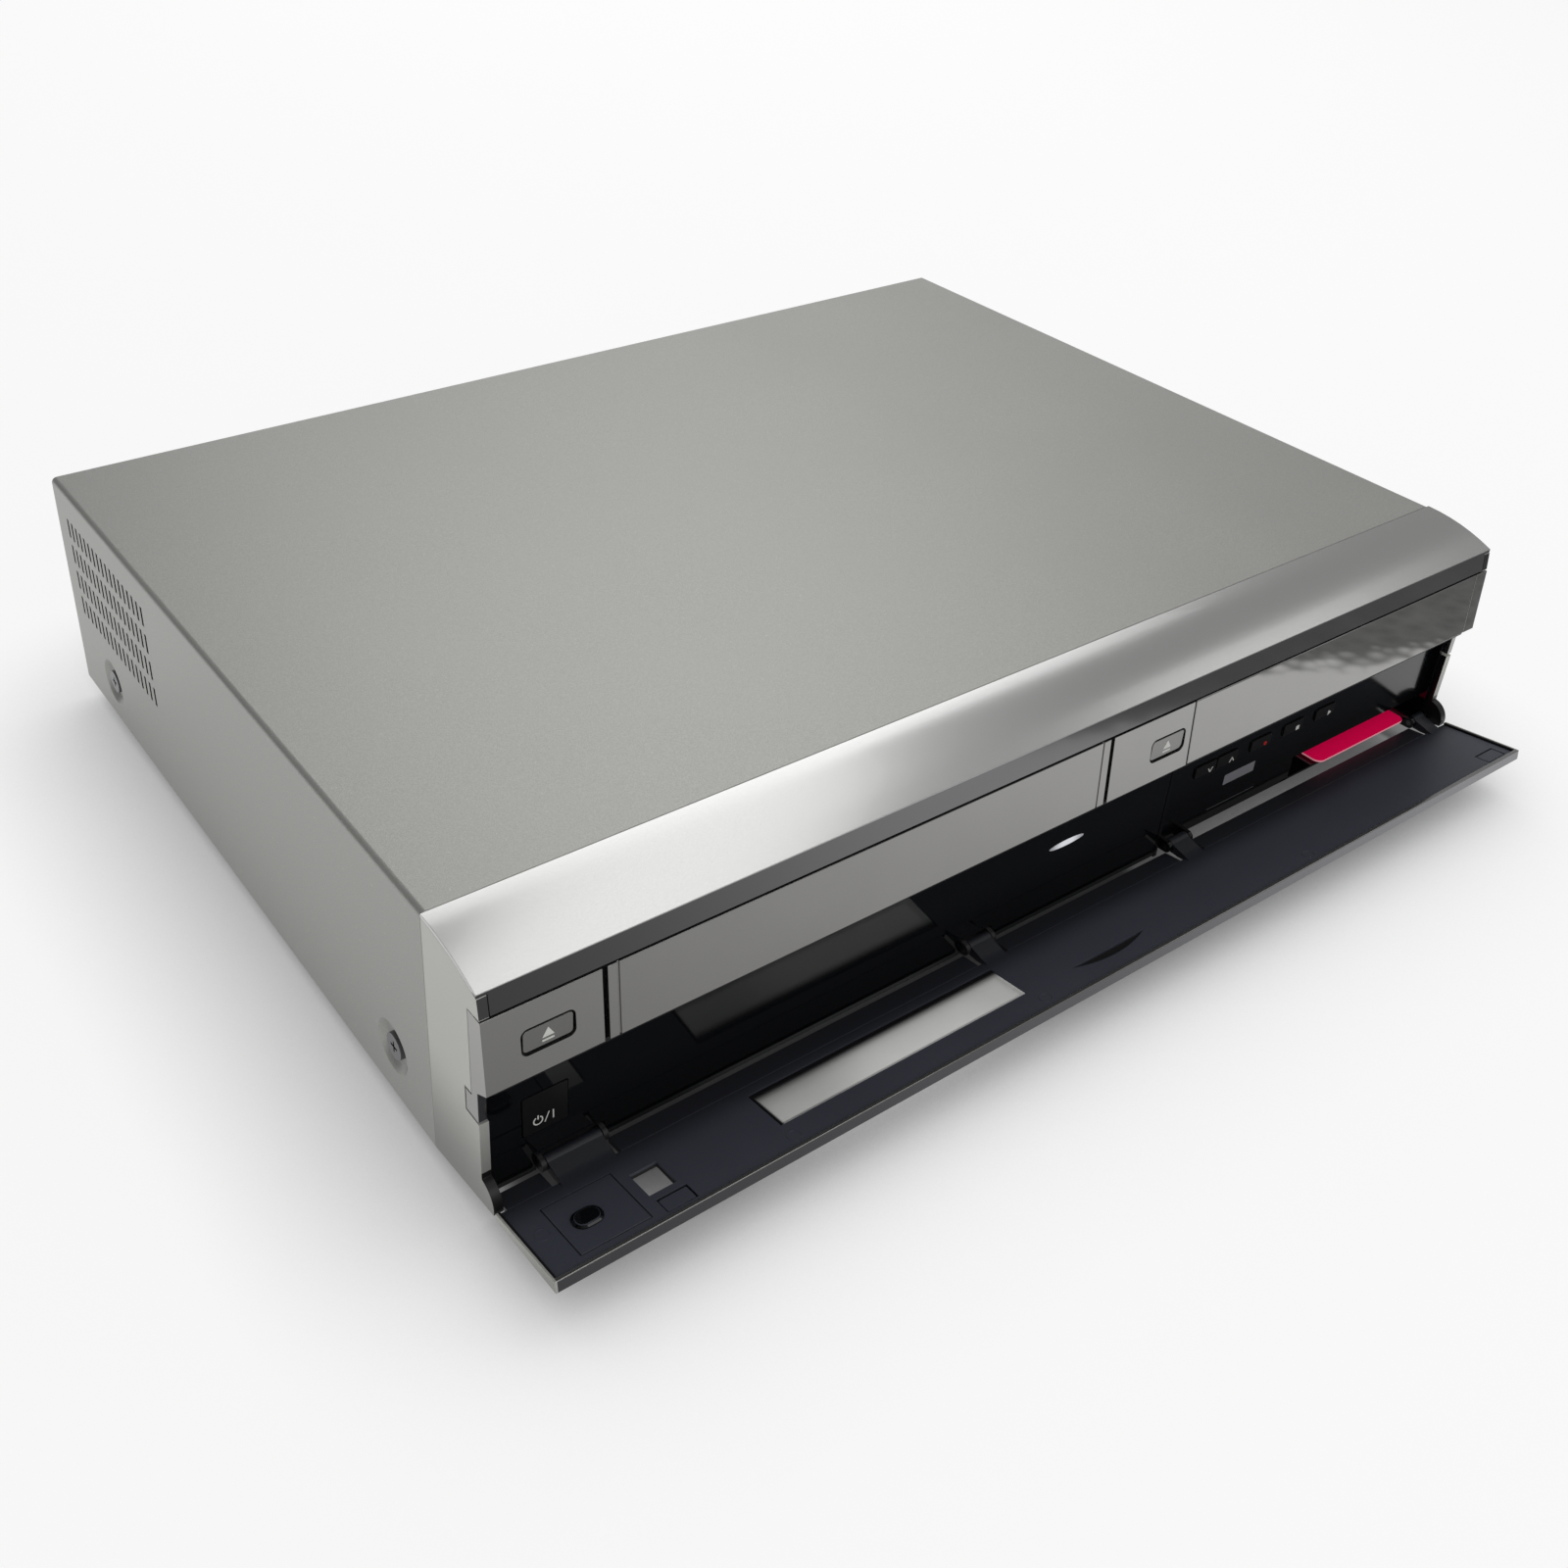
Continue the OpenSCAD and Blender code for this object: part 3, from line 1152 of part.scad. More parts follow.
module fan_rotor() color("#303036") placed()
  translate([fan_x, fan_y[0] + fan_web_t + 2 * joint_gap, fan_z]) rotate([-90, 0, 0]) difference() {
    union() {
      cylinder(h = fan_hub_h, r = fan_hub_r);
      for (i = [0:blades - 1]) rotate(i * 360 / blades)
        translate([8, 0, 1]) rotate([blade_pitch, 0, 0]) translate([0, -blade_t / 2, 0])
          cube([blade_r - 8, blade_t, fan_hub_h]);
    }
    translate([0, 0, -cut]) cylinder(h = fan_hub_h - 1, r = fan_pin_r + run_fit);
  }

base_pan();
top_cover();
cover_screws();
rear_panel();
feet();
bezel_frame();
top_trim();
left_cheek();
right_cheek();
eject_panel();
middle_panel();
end_panel();
cassette_door();
tray_front();
lower_panel();
control_panel();
display_tube();
front_board();
flap_shell();
flap_liner();
flap_edge();
flap_window();
flap_key();
hinge_pins();
tape_eject_key();
disc_eject_key();
power_key();
channel_down_key();
channel_up_key();
record_key();
stop_key();
play_key();
access_card();
card_reader();
deck_plate();
drum_base();
head_drum();
supply_reel();
takeup_reel();
capstan();
tape_guides();
loading_motor();
carriage_frame();
carriage_slider();
cassette_basket();
drive_frame();
drive_lid();
disc_tray();
tray_gear();
turntable();
pickup_sled();
sled_rods();
hard_disk();
main_board();
power_board();
tuner();
rear_jacks();
ac_inlet();
cooling_fan();
fan_rotor();
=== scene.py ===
"""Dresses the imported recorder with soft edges, finishes, symbols and sockets on a pale stage."""

import json
from functools import partialmethod
from math import pi, radians

import bmesh
import bpy
from bpy.props import FloatProperty, FloatVectorProperty, IntProperty, PointerProperty
from mathutils import Matrix, Vector

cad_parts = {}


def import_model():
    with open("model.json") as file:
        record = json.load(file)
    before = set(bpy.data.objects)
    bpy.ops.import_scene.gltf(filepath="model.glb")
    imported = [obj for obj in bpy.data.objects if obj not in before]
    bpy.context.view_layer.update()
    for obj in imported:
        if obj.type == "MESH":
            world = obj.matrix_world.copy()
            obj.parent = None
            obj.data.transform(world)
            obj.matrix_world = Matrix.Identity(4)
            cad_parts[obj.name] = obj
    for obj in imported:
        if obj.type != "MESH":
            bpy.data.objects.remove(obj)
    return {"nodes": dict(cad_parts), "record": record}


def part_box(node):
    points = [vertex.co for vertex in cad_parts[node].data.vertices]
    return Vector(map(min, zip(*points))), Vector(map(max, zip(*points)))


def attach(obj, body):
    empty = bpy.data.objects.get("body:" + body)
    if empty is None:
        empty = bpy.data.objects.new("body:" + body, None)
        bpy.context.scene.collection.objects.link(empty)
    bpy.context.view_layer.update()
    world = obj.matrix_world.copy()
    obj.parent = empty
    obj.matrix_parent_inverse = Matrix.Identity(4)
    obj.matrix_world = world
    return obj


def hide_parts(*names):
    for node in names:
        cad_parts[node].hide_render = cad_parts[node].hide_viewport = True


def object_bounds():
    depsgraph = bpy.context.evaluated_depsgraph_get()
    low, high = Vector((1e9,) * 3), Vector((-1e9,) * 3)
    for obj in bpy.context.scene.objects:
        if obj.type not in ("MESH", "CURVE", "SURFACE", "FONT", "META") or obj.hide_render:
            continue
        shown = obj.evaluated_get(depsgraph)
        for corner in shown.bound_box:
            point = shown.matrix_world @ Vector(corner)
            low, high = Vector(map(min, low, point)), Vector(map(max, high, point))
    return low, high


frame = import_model()
CAD_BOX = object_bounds()

bl_info = {
    "name": "Recorder Dressing",
    "version": (1, 0, 0),
    "blender": (4, 5, 0),
    "location": "View3D > Sidebar > Recorder",
    "description": "Adds finishes, soft edges, symbols and sockets to the packed recorder",
    "category": "Object",
}

MM = 0.001
TINY = 0.01 * MM
QUARTER_TURN = pi / 2
SMOOTH_ANGLE = radians(32)
EDGE_ANGLE = radians(38)
FLAT_ANGLE = radians(0.6)


def mm(*values):
    """Turns millimetres into metres."""
    return tuple(value * MM for value in values)


def linear(*srgb):
    """Turns the visible values of a colour into linear ones for shaders."""
    return tuple(v / 12.92 if v <= 0.04045 else ((v + 0.055) / 1.055) ** 2.4 for v in srgb)


# What the frame's record says of nodes, bodies and joints
RECORD = frame["record"]
BODIES = RECORD["behaviour"]["bodies"]
SLOT_OF = {part["node"]: part["material_slot"] for part in RECORD["subparts"]}
BODY_OF = {node: body for body, nodes in BODIES.items() for node in nodes}
JOINT = {joint["name"]: joint for joint in RECORD["behaviour"]["joints"]}
CHASSIS = BODY_OF["base_pan"]
FLAP = BODY_OF["flap_shell"]

# Places on the flap, as x and the height over its hinge while it is closed
LINER_LEVEL = -2.0 * MM
MOULDING_MARKS = (mm(-208.6, 21.2), mm(-133.4, 32.7), mm(-34.0, 32.7), mm(95.0, 32.7))

# Plates on the flap, as runs of x, depth and height, corner and edge in millimetres
BUTTON_COLLAR = ((-200.55, -191.35), (0, 0.4), (19.9, 26.9), 3.2, 0.1)
COLLAR_RIM = 0.7 * MM
COLLAR_SINK = 0.3 * MM
BUTTON_CAP = ((-199.55, -192.35), (0, 0.95), (20.8, 26.0), 2.5, 0.25)
FLAP_TABS = (
    ((-177.8, -168.7), (-0.42, 0.12), (30.2, 35.1), 0.4, 0.12),
    ((199.5, 209.2), (-0.42, 0.12), (30.7, 35.8), 0.4, 0.12),
)
# Black sheets under the tabs, painted shade in the gaps round them
TAB_SHADE_SHEETS = (
    ((-177.95, -168.05), (-0.49, -0.40), (29.35, 35.15), 0.2, 0.03),
    ((199.35, 209.85), (-0.49, -0.40), (29.85, 35.85), 0.2, 0.03),
)

# Gaps round the eject keys
KEY_GAP_AHEAD = 2.0 * MM
KEY_GAP_CORNER = 2.2 * MM
KEY_GAP_EDGE = 0.05 * MM

# Places on the front, as x and z or as two such corners
CONTROL_FACE = -138.35 * MM
LAMP = mm(4.9, 39.65)
LAMP_PROUD = 0.12 * MM
LAMP_DEPTH = 0.3 * MM
LAMP_EDGE = 0.1 * MM
LABEL = (mm(89.5, 27.2), mm(106.3, 31.6))
LABEL_CORNER = 0.3 * MM
# A lighter line along the card slot: a painted highlight where its edge catches the light
SLOT_HIGHLIGHT = (mm(83.6, 18.5), mm(109.5, 18.85))
SLOT_HIGHLIGHT_CORNER = 0.1 * MM
PRINT_SINK = 0.1 * MM
SLOT_PANEL = (mm(55.6, 13.4), mm(146.0, 23.45))
SLOT_PANEL_SLOPE = 15.5 * MM
WELL_FLOOR = (mm(126.0, 13.4), mm(210.0, 14.5))
WELL_DEPTH = 9.4 * MM

# Places on the rear, as x and z, and profiles of (radius, depth) in millimetres
JACK_COLUMNS = ("yellow", "white", "red", "yellow", "white", "red", "green", "blue", "red")
JACK_ROWS = 2
JACK_START = mm(34.0, 18.5)
JACK_PITCH = 14.0 * MM
JACK_ROOT = [(4.55, 0.02), (5.8, 0.02), (5.8, 0.9), (5.5, 1.2), (4.55, 1.2)]
LINK_SOCKETS = (mm(171.5, 18.5), mm(191.5, 18.5))
LINK_FACE = 172.15 * MM
LINK_REACH = mm(6.9, 3.5)
LINK_DEPTH = mm(-0.4, 0.5)
LINK_SILL = mm(7.2, 0.3)
LINK_POST = mm(0.3, 3.7)
INLET_PINS = (mm(-190.3, 31.5), mm(-181.7, 31.5))
INLET_PIN = [(0.3, 0.0), (0.9, -0.15), (1.2, -0.6), (1.2, -7.4), (0.3, -7.4)]
INLET_SINK = 1.5 * MM
AERIALS = (mm(-51.0, 19.5), mm(-35.0, 19.5), mm(-19.0, 19.5), mm(-3.0, 19.5))
AERIAL_NUT = [(4.75, 0.05), (6.3, 0.05), (6.3, 1.4), (5.9, 1.7), (4.75, 1.7)]
THREAD_TURNS = 7
THREAD_START = 2.0
THREAD_PITCH = 0.95

# The camera, from a fit to the photograph
CAMERA_PLACE = (-0.354642, -0.414712, 0.380617)
CAMERA_RIGHT = (0.811781, -0.582664, 0.038906)
CAMERA_UP = (0.293802, 0.465092, 0.835087)
CAMERA_BACK = (-0.504670, -0.666477, 0.548741)
CAMERA_SHIFT = (0.0514, -0.0635)

# Softboxes, as a place and a size in metres, and where they look
KEY_BOX = ((0.475, 0.20, 1.25), (0.55, 1.4))
KEY_TURN = radians(-16)
BACK_BOX = ((0.95, 1.5, 1.25), (1.4, 1.4))
SIDE_BOX = ((1.12, -0.22, 1.05), (0.45, 0.45))
FILL_BOX = ((-0.25, -1.25, 0.95), (1.2, 0.8))
FILL_TARGET = (0.0, -0.14, 0.04)

# Floor and room, as runs of x or y in metres and levels of light
FLOOR_SIZE = 14
FLOOR_GLOW = 0.80
FLOOR_SHELTER = 0.07
FLOOR_FRONT = (-0.17, -0.13)
FLOOR_FADE = (-0.32, 0.22, 0.72, 0.0)
UNDER_BODY = ((-0.206, -0.151), (0.238, 0.165))
UNDER_BLUR = (0.01, 0.004)
UNDER_STEP = (0.050, 0.058, 0.2, 0.84)
UNDER_END = (0.205, 0.209)
UNDER_SIDE = (0.205, 0.212)
UNDER_CORNER = (-0.125, -0.110)
UNDER_CORNER_SHADE = (0.8, 0.0)
CLOTH_CORNER = (0.205, -0.25)
CLOTH_NORMAL = (0.5, -0.866)
CLOTH_KNOTS = 120.0
CLOTH_FRAY = 0.02
ROOM_FADE = (-0.4, 0.3, 0.10)

# Runs and edges in the finishes, in metres
# Runs of y and z of the side vents, whose slot walls get painted shade
VENT_SHADE_RUNS = ((0.08, 0.168), (0.02, 0.091))
SHEET = 1.3 * MM
BAND_GREY = linear(0.46, 0.46, 0.465)
BAND_SEAM = 0.25 * MM
# Run of x over which the band's painted shade on the left fades out
BAND_SHADE_FADE = (-0.215, -0.06)
CHEEK_LOBE = 24 * MM
# Heights over which the cheeks' painted shade fades out upwards
CHEEK_SHADE_FADE = mm(12, 55)
HINGE_SHADE = (-0.160, -0.147)
FLAP_END = 0.7 * MM
# Start in x of the flap shell's painted light, which grows towards the right end
FLAP_LIGHT_FADE = -0.15
# Insets in metres of the window pane's painted shade, by the hinge and on the left, and of its
# painted glow
PANE_SHADE_BACK = mm(5.5, 1.2)
PANE_SHADE_LEFT = mm(1.8, 0.6)
PANE_PAINTED_LIGHT = mm(15, 45)

# Finishes that differ by colour, roughness and grain alone
ALL_WAYS = (1, 1, 1)
PLATED = {
    "screw_steel": ((0.48, 0.48, 0.49), 0.30, ALL_WAYS),
    "drive_steel": ((0.68, 0.69, 0.70), 0.34),
    "deck_steel": ((0.72, 0.73, 0.74), 0.28, (12, 1, 12)),
    "drum_aluminium": ((0.84, 0.85, 0.86), 0.18, (1, 1, 30)),
    "disk_aluminium": ((0.66, 0.67, 0.68), 0.45, ALL_WAYS),
}
MOULDED = {
    "foot_rubber": ((0.10, 0.10, 0.10), 0.75, 900),
    "reel_black": ((0.13, 0.13, 0.13), 0.45),
    "tray_black": ((0.11, 0.11, 0.12), 0.40),
    "gear_white": ((0.88, 0.88, 0.84), 0.45),
    "jack_black": ((0.08, 0.08, 0.085), 0.42),
    "fan_black": ((0.10, 0.10, 0.11), 0.45),
    "socket_yellow": ((0.82, 0.68, 0.10), 0.38),
    "socket_white": ((0.84, 0.84, 0.82), 0.38),
    "socket_red": ((0.68, 0.10, 0.10), 0.38),
    "socket_green": ((0.14, 0.42, 0.20), 0.38),
    "socket_blue": ((0.12, 0.24, 0.55), 0.38),
}


def colour(label, words, *srgb):
    """A colour setting, written by its visible values."""
    return FloatVectorProperty(
        name=label, description=words, default=linear(*srgb), subtype="COLOR", min=0.0, max=1.0
    )


def amount(label, words, value, unit="NONE", low=0.0):
    """A number setting."""
    return FloatProperty(name=label, description=words, default=value, unit=unit, min=low)


def length(label, words, millimetres):
    """A length setting, written in millimetres and kept in metres."""
    return amount(label, words, millimetres * MM, "LENGTH")


class RecorderColours(bpy.types.PropertyGroup):
    """Colours of the recorder's finishes."""

    cover: colour("Cover", "Satin paint of the cover", 0.68, 0.68, 0.665)
    trim: colour("Trim", "Lacquered trim over the front", 0.79, 0.79, 0.785)
    cheek: colour("Cheeks", "Silver lacquer of the side cheeks", 0.80, 0.80, 0.78)
    fascia: colour("Fascia", "Dark mirror of the upper front", 0.60, 0.597, 0.59)
    panel: colour("Lower panel", "Polished black of the lower front", 0.03, 0.035, 0.045)
    moulded: colour("Mouldings", "Matt black mouldings", 0.12, 0.12, 0.125)
    liner: colour("Flap liner", "Inside of the flap", 0.235, 0.245, 0.285)
    shell: colour("Flap shell", "Outer skin of the flap", 0.37, 0.37, 0.38)
    # The card colour also feeds a painted glow, and the edge colour is a painted highlight along
    # the card's thin edge.
    card: colour("Card", "Bright face of the access card", 0.88, 0.03, 0.30)
    card_edge: colour("Card edge", "Highlit edge of the card", 0.96, 0.62, 0.68)
    mark: colour("Marks", "Printed symbols", 0.86, 0.86, 0.84)
    record_dot: colour("Record dot", "Dot on the record key", 0.72, 0.10, 0.08)
    label: colour("Label", "Plain printed block", 0.50, 0.50, 0.52)
    steel: colour("Steel", "Plated sheet", 0.66, 0.67, 0.68)
    board: colour("Board", "Solder mask of the boards", 0.10, 0.28, 0.16)
    brass: colour("Contacts", "Gilded contacts", 0.80, 0.62, 0.30)


class RecorderSizes(bpy.types.PropertyGroup):
    """Sizes of what the dressing adds."""

    soft_edge: length("Soft edge", "Radius on the edges of lacquered pieces", 0.3)
    sheet_edge: length("Sheet edge", "Radius on the edges of sheet metal", 0.12)
    print_t: length("Print", "Thickness of a printed mark", 0.05)
    band_h: length("Band", "Height of the dark band under the trim's edge", 7.8)
    key_recess: length("Key recess", "Width of the dark gap round an eject key", 0.75)
    key_flange: length("Key flange", "Width of the flange behind an eject key", 1.2)
    eject_mark: length("Eject mark", "Width of the symbol on an eject key", 4.2)
    eject_drop: length("Eject drop", "Drop of an eject mark below the key's middle", 0.7)
    power_mark: length("Power mark", "Diameter of the ring on the power key", 3.2)
    power_drop: length("Power drop", "Drop of the power mark below the key's middle", 3.1)
    key_mark: length("Key mark", "Width of the symbol on a small key", 2.6)
    mark_drop: length("Mark drop", "Drop of a small key's symbol below its middle", 1.2)
    mark_shift: length("Mark shift", "Shift of a small key's symbol to the right", 2.6)
    lamp_w: length("Lamp width", "Width of the front lamp", 16.0)
    lamp_h: length("Lamp height", "Height of the front lamp", 2.4)
    stroke: length("Stroke", "Width of a printed line", 0.4)
    mark_edge: length("Mark edge", "Bevel on the edges of a printed mark", 0.02)
    ring_mark: length("Ejector mark", "Radius of a moulding mark on the flap", 2.1)
    card_edge: length("Card edge", "Radius on the edges of the card", 0.12)
    ring_count: IntProperty(name="Ring steps", description="Steps round a ring", default=40, min=12)


class RecorderStage(bpy.types.PropertyGroup):
    """Camera, floor and lights."""

    lens: amount("Lens", "Focal length on a 36 mm sensor", 38.628, low=1.0)
    backdrop: colour("Backdrop", "Floor and background", 0.976, 0.976, 0.976)
    sky: amount("Sky", "Strength of the even light", 0.60)
    room: amount("Room", "Brightness of the room in reflections", 0.40)
    key: amount("Key light", "Power of the softbox over the front", 2.75, "POWER")
    back: amount("Back light", "Power of the wide softbox behind", 9.2, "POWER")
    side: amount("Side light", "Power of the right softbox", 0.48, "POWER")
    fill: amount("Fill light", "Power of the front softbox", 4.0, "POWER")


def settings(group):
    """One of the three property groups of the scene."""
    return getattr(bpy.context.scene, "recorder_" + group)


def shade(tone, factor):
    """A colour made lighter or darker."""
    return tuple(min(1.0, v * factor) for v in tone)


def tone_of(name, factor=1.0):
    """One of the colour settings, made lighter or darker."""
    return shade(getattr(settings("colours"), name), factor)


class Value:
    """A shader socket that Python's operators work on."""

    def __init__(self, nodes, socket):
        self.nodes = nodes
        self.socket = socket

    def math(self, operation, other=None, flip=False):
        pair = (other, self) if flip else (self, other)
        sockets = {i: v for i, v in enumerate(pair) if v is not None}
        return self.nodes.add("Math", sockets, operation=operation)

    __add__ = __radd__ = partialmethod(math, "ADD")
    __sub__ = partialmethod(math, "SUBTRACT")
    __rsub__ = partialmethod(math, "SUBTRACT", flip=True)
    __mul__ = __rmul__ = partialmethod(math, "MULTIPLY")
    __gt__ = partialmethod(math, "GREATER_THAN")
    __lt__ = partialmethod(math, "LESS_THAN")
    __abs__ = partialmethod(math, "ABSOLUTE")


class Nodes:
    """A node tree that grows by one node at a time."""

    def __init__(self, tree):
        self.tree = tree

    def add(self, kind, sockets=None, out=0, **options):
        """Adds a node, sets it up, feeds its sockets and gives one of its outputs."""
        node = self.tree.nodes.new("ShaderNode" + kind)
        for key, value in options.items():
            setattr(node, key, value)
        for key, value in (sockets or {}).items():
            self.feed(node.inputs[key], value)
        return Value(self, node.outputs[out]) if node.outputs else node

    def feed(self, socket, value):
        """Links a socket to a value, or sets it to a number, a vector or a colour."""
        if isinstance(value, Value):
            self.tree.links.new(value.socket, socket)
        elif socket.type == "RGBA":
            socket.default_value = (*value, 1.0)
        else:
            socket.default_value = value

    def part(self, vector, name):
        """The X, Y or Z part of a vector."""
        return self.add("SeparateXYZ", {"Vector": vector}, out=name)

    def step(self, value, low, high, first=0.0, last=1.0):
        """Runs from first to last as value goes from low to high."""
        ends = {"From Min": low, "From Max": high, "To Min": first, "To Max": last}
        return self.add("MapRange", {"Value": value, **ends}, interpolation_type="SMOOTHSTEP")

    def inside(self, value, low, high):
        """Is 1 where value lies between low and high."""
        return (value > low) * (value < high)


class Finish(Nodes):
    """A procedural material on the Principled shader."""

    def __init__(self, name):
        self.material = bpy.data.materials.new("finish_" + name)
        self.material.use_nodes = True
        super().__init__(self.material.node_tree)
        self.shader = self.tree.nodes["Principled BSDF"]
        self.place = self.add("TexCoord", out="Object")

    def noise(self, scale, detail, stretch=ALL_WAYS):
        """Noise from 0 to 1 over the object's own coordinates."""
        where = self.add("Mapping", {"Vector": self.place, "Scale": stretch})
        return self.add("TexNoise", {"Vector": where, "Scale": scale, "Detail": detail})

    def axis(self, name):
        """One of the object's own coordinates."""
        return self.part(self.place, name)

    def facing(self, name):
        """One part of the surface's direction, in the object's own frame."""
        return self.part(self.add("TexCoord", out="Normal"), name)

    def between(self, factor, low, high):
        """Mixes two colours."""
        return self.add("Mix", {0: factor, 6: low, 7: high}, out=2, data_type="RGBA")

    def mottled(self, factor, tone, low, high):
        """Mixes two shades of one colour."""
        return self.between(factor, shade(tone, low), shade(tone, high))

    def relief(self, height, distance, strength):
        """Feeds the normal from a height in the units of distance."""
        bump = {"Height": height, "Distance": distance, "Strength": strength}
        self.surface(Normal=self.add("Bump", bump))

    def surface(self, base=None, rough=None, **sockets):
        """Feeds the shader; an underscore in a name stands for a space."""
        for name, value in {"Base_Color": base, "Roughness": rough, **sockets}.items():
            if value is not None:
                self.feed(self.shader.inputs[name.replace("_", " ")], value)


def cover_paint(paint):
    tone = tone_of("cover")
    grain = paint.noise(2600, 2.0)
    cloud = paint.noise(14, 3.0)
    specks = paint.noise(900, 1.0) > 0.735
    base = paint.mottled(cloud, tone, 0.90, 1.10)
    fine = paint.between(paint.step(grain, 0.35, 0.65), shade(tone, 0.86), base)
    dusty = paint.between(specks * 0.35, fine, linear(0.80, 0.79, 0.76))
    # Painted shade: the walls of the side vents' slots are darkened, as their cut edges lie in
    # shadow.
    side = abs(paint.axis("X")) > CAD_BOX[1][0] - SHEET
    vent_shade = side * (abs(paint.facing("X")) < 0.5)
    for name, run in zip("YZ", VENT_SHADE_RUNS):
        vent_shade = vent_shade * paint.inside(paint.axis(name), *run)
    base = paint.between(vent_shade, dusty, linear(0.10, 0.10, 0.10))
    paint.surface(base, 0.36 + cloud * 0.08, Metallic=0.5 - vent_shade * 0.5)
    paint.relief(grain, 0.05 * MM, 0.55)


def trim_silver(coat):
    flake = coat.noise(4200, 1.0)
    smear = coat.noise(22, 3.0, (0.3, 1, 1))
    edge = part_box("top_trim")[0][2] + settings("sizes").band_h
    band = coat.axis("Z") < edge - BAND_SEAM
    silver = coat.mottled(coat.step(flake, 0.3, 0.7), tone_of("trim"), 0.94, 1.04)
    # Painted shade: the band under the trim grows darker towards the left end.
    grey = coat.mottled(coat.step(coat.axis("X"), *BAND_SHADE_FADE), BAND_GREY, 0.45, 1.0)
    base = coat.between(band, silver, grey)
    rough = 0.19 + smear * 0.07 - band * 0.12
    coat.surface(base, rough, Metallic=0.95, Coat_Weight=0.25)


def cheek_silver(coat):
    tone = tone_of("cheek")
    flake = coat.noise(3800, 2.0)
    cloud = coat.noise(30, 2.0)
    height = coat.axis("Z")
    across = coat.facing("X")
    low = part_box("top_trim")[0][2]
    front = coat.facing("Y") < -0.6
    band = front * coat.inside(height, low, low + settings("sizes").band_h)
    inner = across * coat.axis("X") < -0.1
    lobe = (height < CHEEK_LOBE) * (abs(across) < 0.7)
    dark = inner.math("MAXIMUM", lobe)
    silver = coat.mottled(coat.step(flake, 0.3, 0.7), tone, 0.92, 1.03)
    # Painted shade: the silver cheeks grow darker towards the bottom.
    painted_low_shade = coat.between(coat.step(height, *CHEEK_SHADE_FADE), shade(tone, 0.45), silver)
    banded = coat.between(band, painted_low_shade, shade(BAND_GREY, 0.5))
    base = coat.between(dark, banded, linear(0.06, 0.06, 0.065))
    metal = 0.35 + band * 0.6 - dark * 0.35
    coat.surface(base, 0.34 + cloud * 0.08 - band * 0.24, Metallic=metal)
    coat.relief(flake, 0.02 * MM, 0.4)


def fascia_gloss(mirror):
    haze = mirror.noise(40, 4.0)
    wipe = mirror.noise(60, 3.0, (0.12, 1, 1))
    base = mirror.mottled(haze, tone_of("fascia"), 0.94, 1.05)
    rough = 0.035 + wipe * 0.03
    mirror.surface(base, rough, Metallic=0.95, Coat_Weight=0.3)


def key_grey(cap):
    haze = cap.noise(70, 3.0)
    base = cap.mottled(haze, tone_of("fascia"), 0.74, 0.84)
    cap.surface(base, 0.10 + haze * 0.05, Metallic=0.85)


def polished(gloss, tone, rough):
    """Polished plastic with a little lint on it."""
    haze = gloss.noise(55, 3.0)
    lint = gloss.noise(1200, 0.0) > 0.80
    base = gloss.mottled(lint * 0.5, tone, 1.0, 6.0)
    gloss.surface(base, rough + haze * 0.03)


def moulded(plastic, tone, rough, grain=1500):
    """Moulded plastic with a fine spark-eroded grain."""
    fine = plastic.noise(grain, 3.0)
    cloud = plastic.noise(25, 3.0)
    base = plastic.mottled(cloud, tone, 0.85, 1.18)
    plastic.surface(base, rough - 0.05 + cloud * 0.10)
    plastic.relief(fine, 0.04 * MM, 0.5)


def plated(metal, tone, rough, stretch=(1, 14, 14)):
    """Plated or brushed metal, with lines along x unless stretched otherwise."""
    brushed = metal.noise(260, 4.0, stretch)
    spangle = metal.noise(35, 2.0)
    base = metal.mottled(brushed, tone, 0.86, 1.08)
    metal.surface(base, rough - 0.06 + spangle * 0.14, Metallic=1.0)
    metal.relief(brushed, 0.02 * MM, 0.35)


def printed(ink, tone):
    """Screen-printed ink with a slightly uneven film."""
    film = ink.noise(1800, 2.0)
    base = ink.mottled(film, tone, 0.88, 1.05)
    ink.surface(base, 0.45 + film * 0.08)


def liner_black(plastic):
    tone = tone_of("liner")
    moulded(plastic, tone, 0.42, 2200)
    # Painted shade: the liner grows darker towards the hinge, in the crease between flap and body.
    hinge = plastic.step(plastic.axis("Y"), *HINGE_SHADE)
    plain = plastic.mottled(plastic.noise(25, 3.0), tone, 0.88, 1.15)
    plastic.surface(plastic.between(hinge, plain, shade(tone, 0.3)))


def flap_silver(skin):
    flake = skin.noise(4000, 1.0)
    half = CAD_BOX[1][0]
    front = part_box("flap_liner")[0][1]
    up = skin.facing("Z")
    x = skin.axis("X")
    ends = abs(x) > half - FLAP_END
    inner = (up > -0.3) * (skin.axis("Y") > front) * (1 - ends)
    # Painted highlight: faces of the shell that look up are lightened towards silver along its lip.
    lip_highlight = skin.step(up, 0.35, 0.75) * (1 - inner) * 0.45
    # Painted light: the shell's face grows lighter towards the right end.
    face = skin.mottled(skin.step(x, FLAP_LIGHT_FADE, half), tone_of("shell"), 1.0, 2.2)
    # The ends take the shell's own silver; the lip's silver is the painted highlight.
    tone = skin.between(ends.math("MAXIMUM", lip_highlight), face, tone_of("cheek"))
    flaked = skin.between(flake * 0.3, tone, linear(0.25, 0.25, 0.26))
    base = skin.between(inner, flaked, linear(0.05, 0.05, 0.055))
    metal = 0.85 - ends * 0.4 - inner * 0.85
    skin.surface(base, 0.16 + ends * 0.15 + inner * 0.3, Metallic=metal)


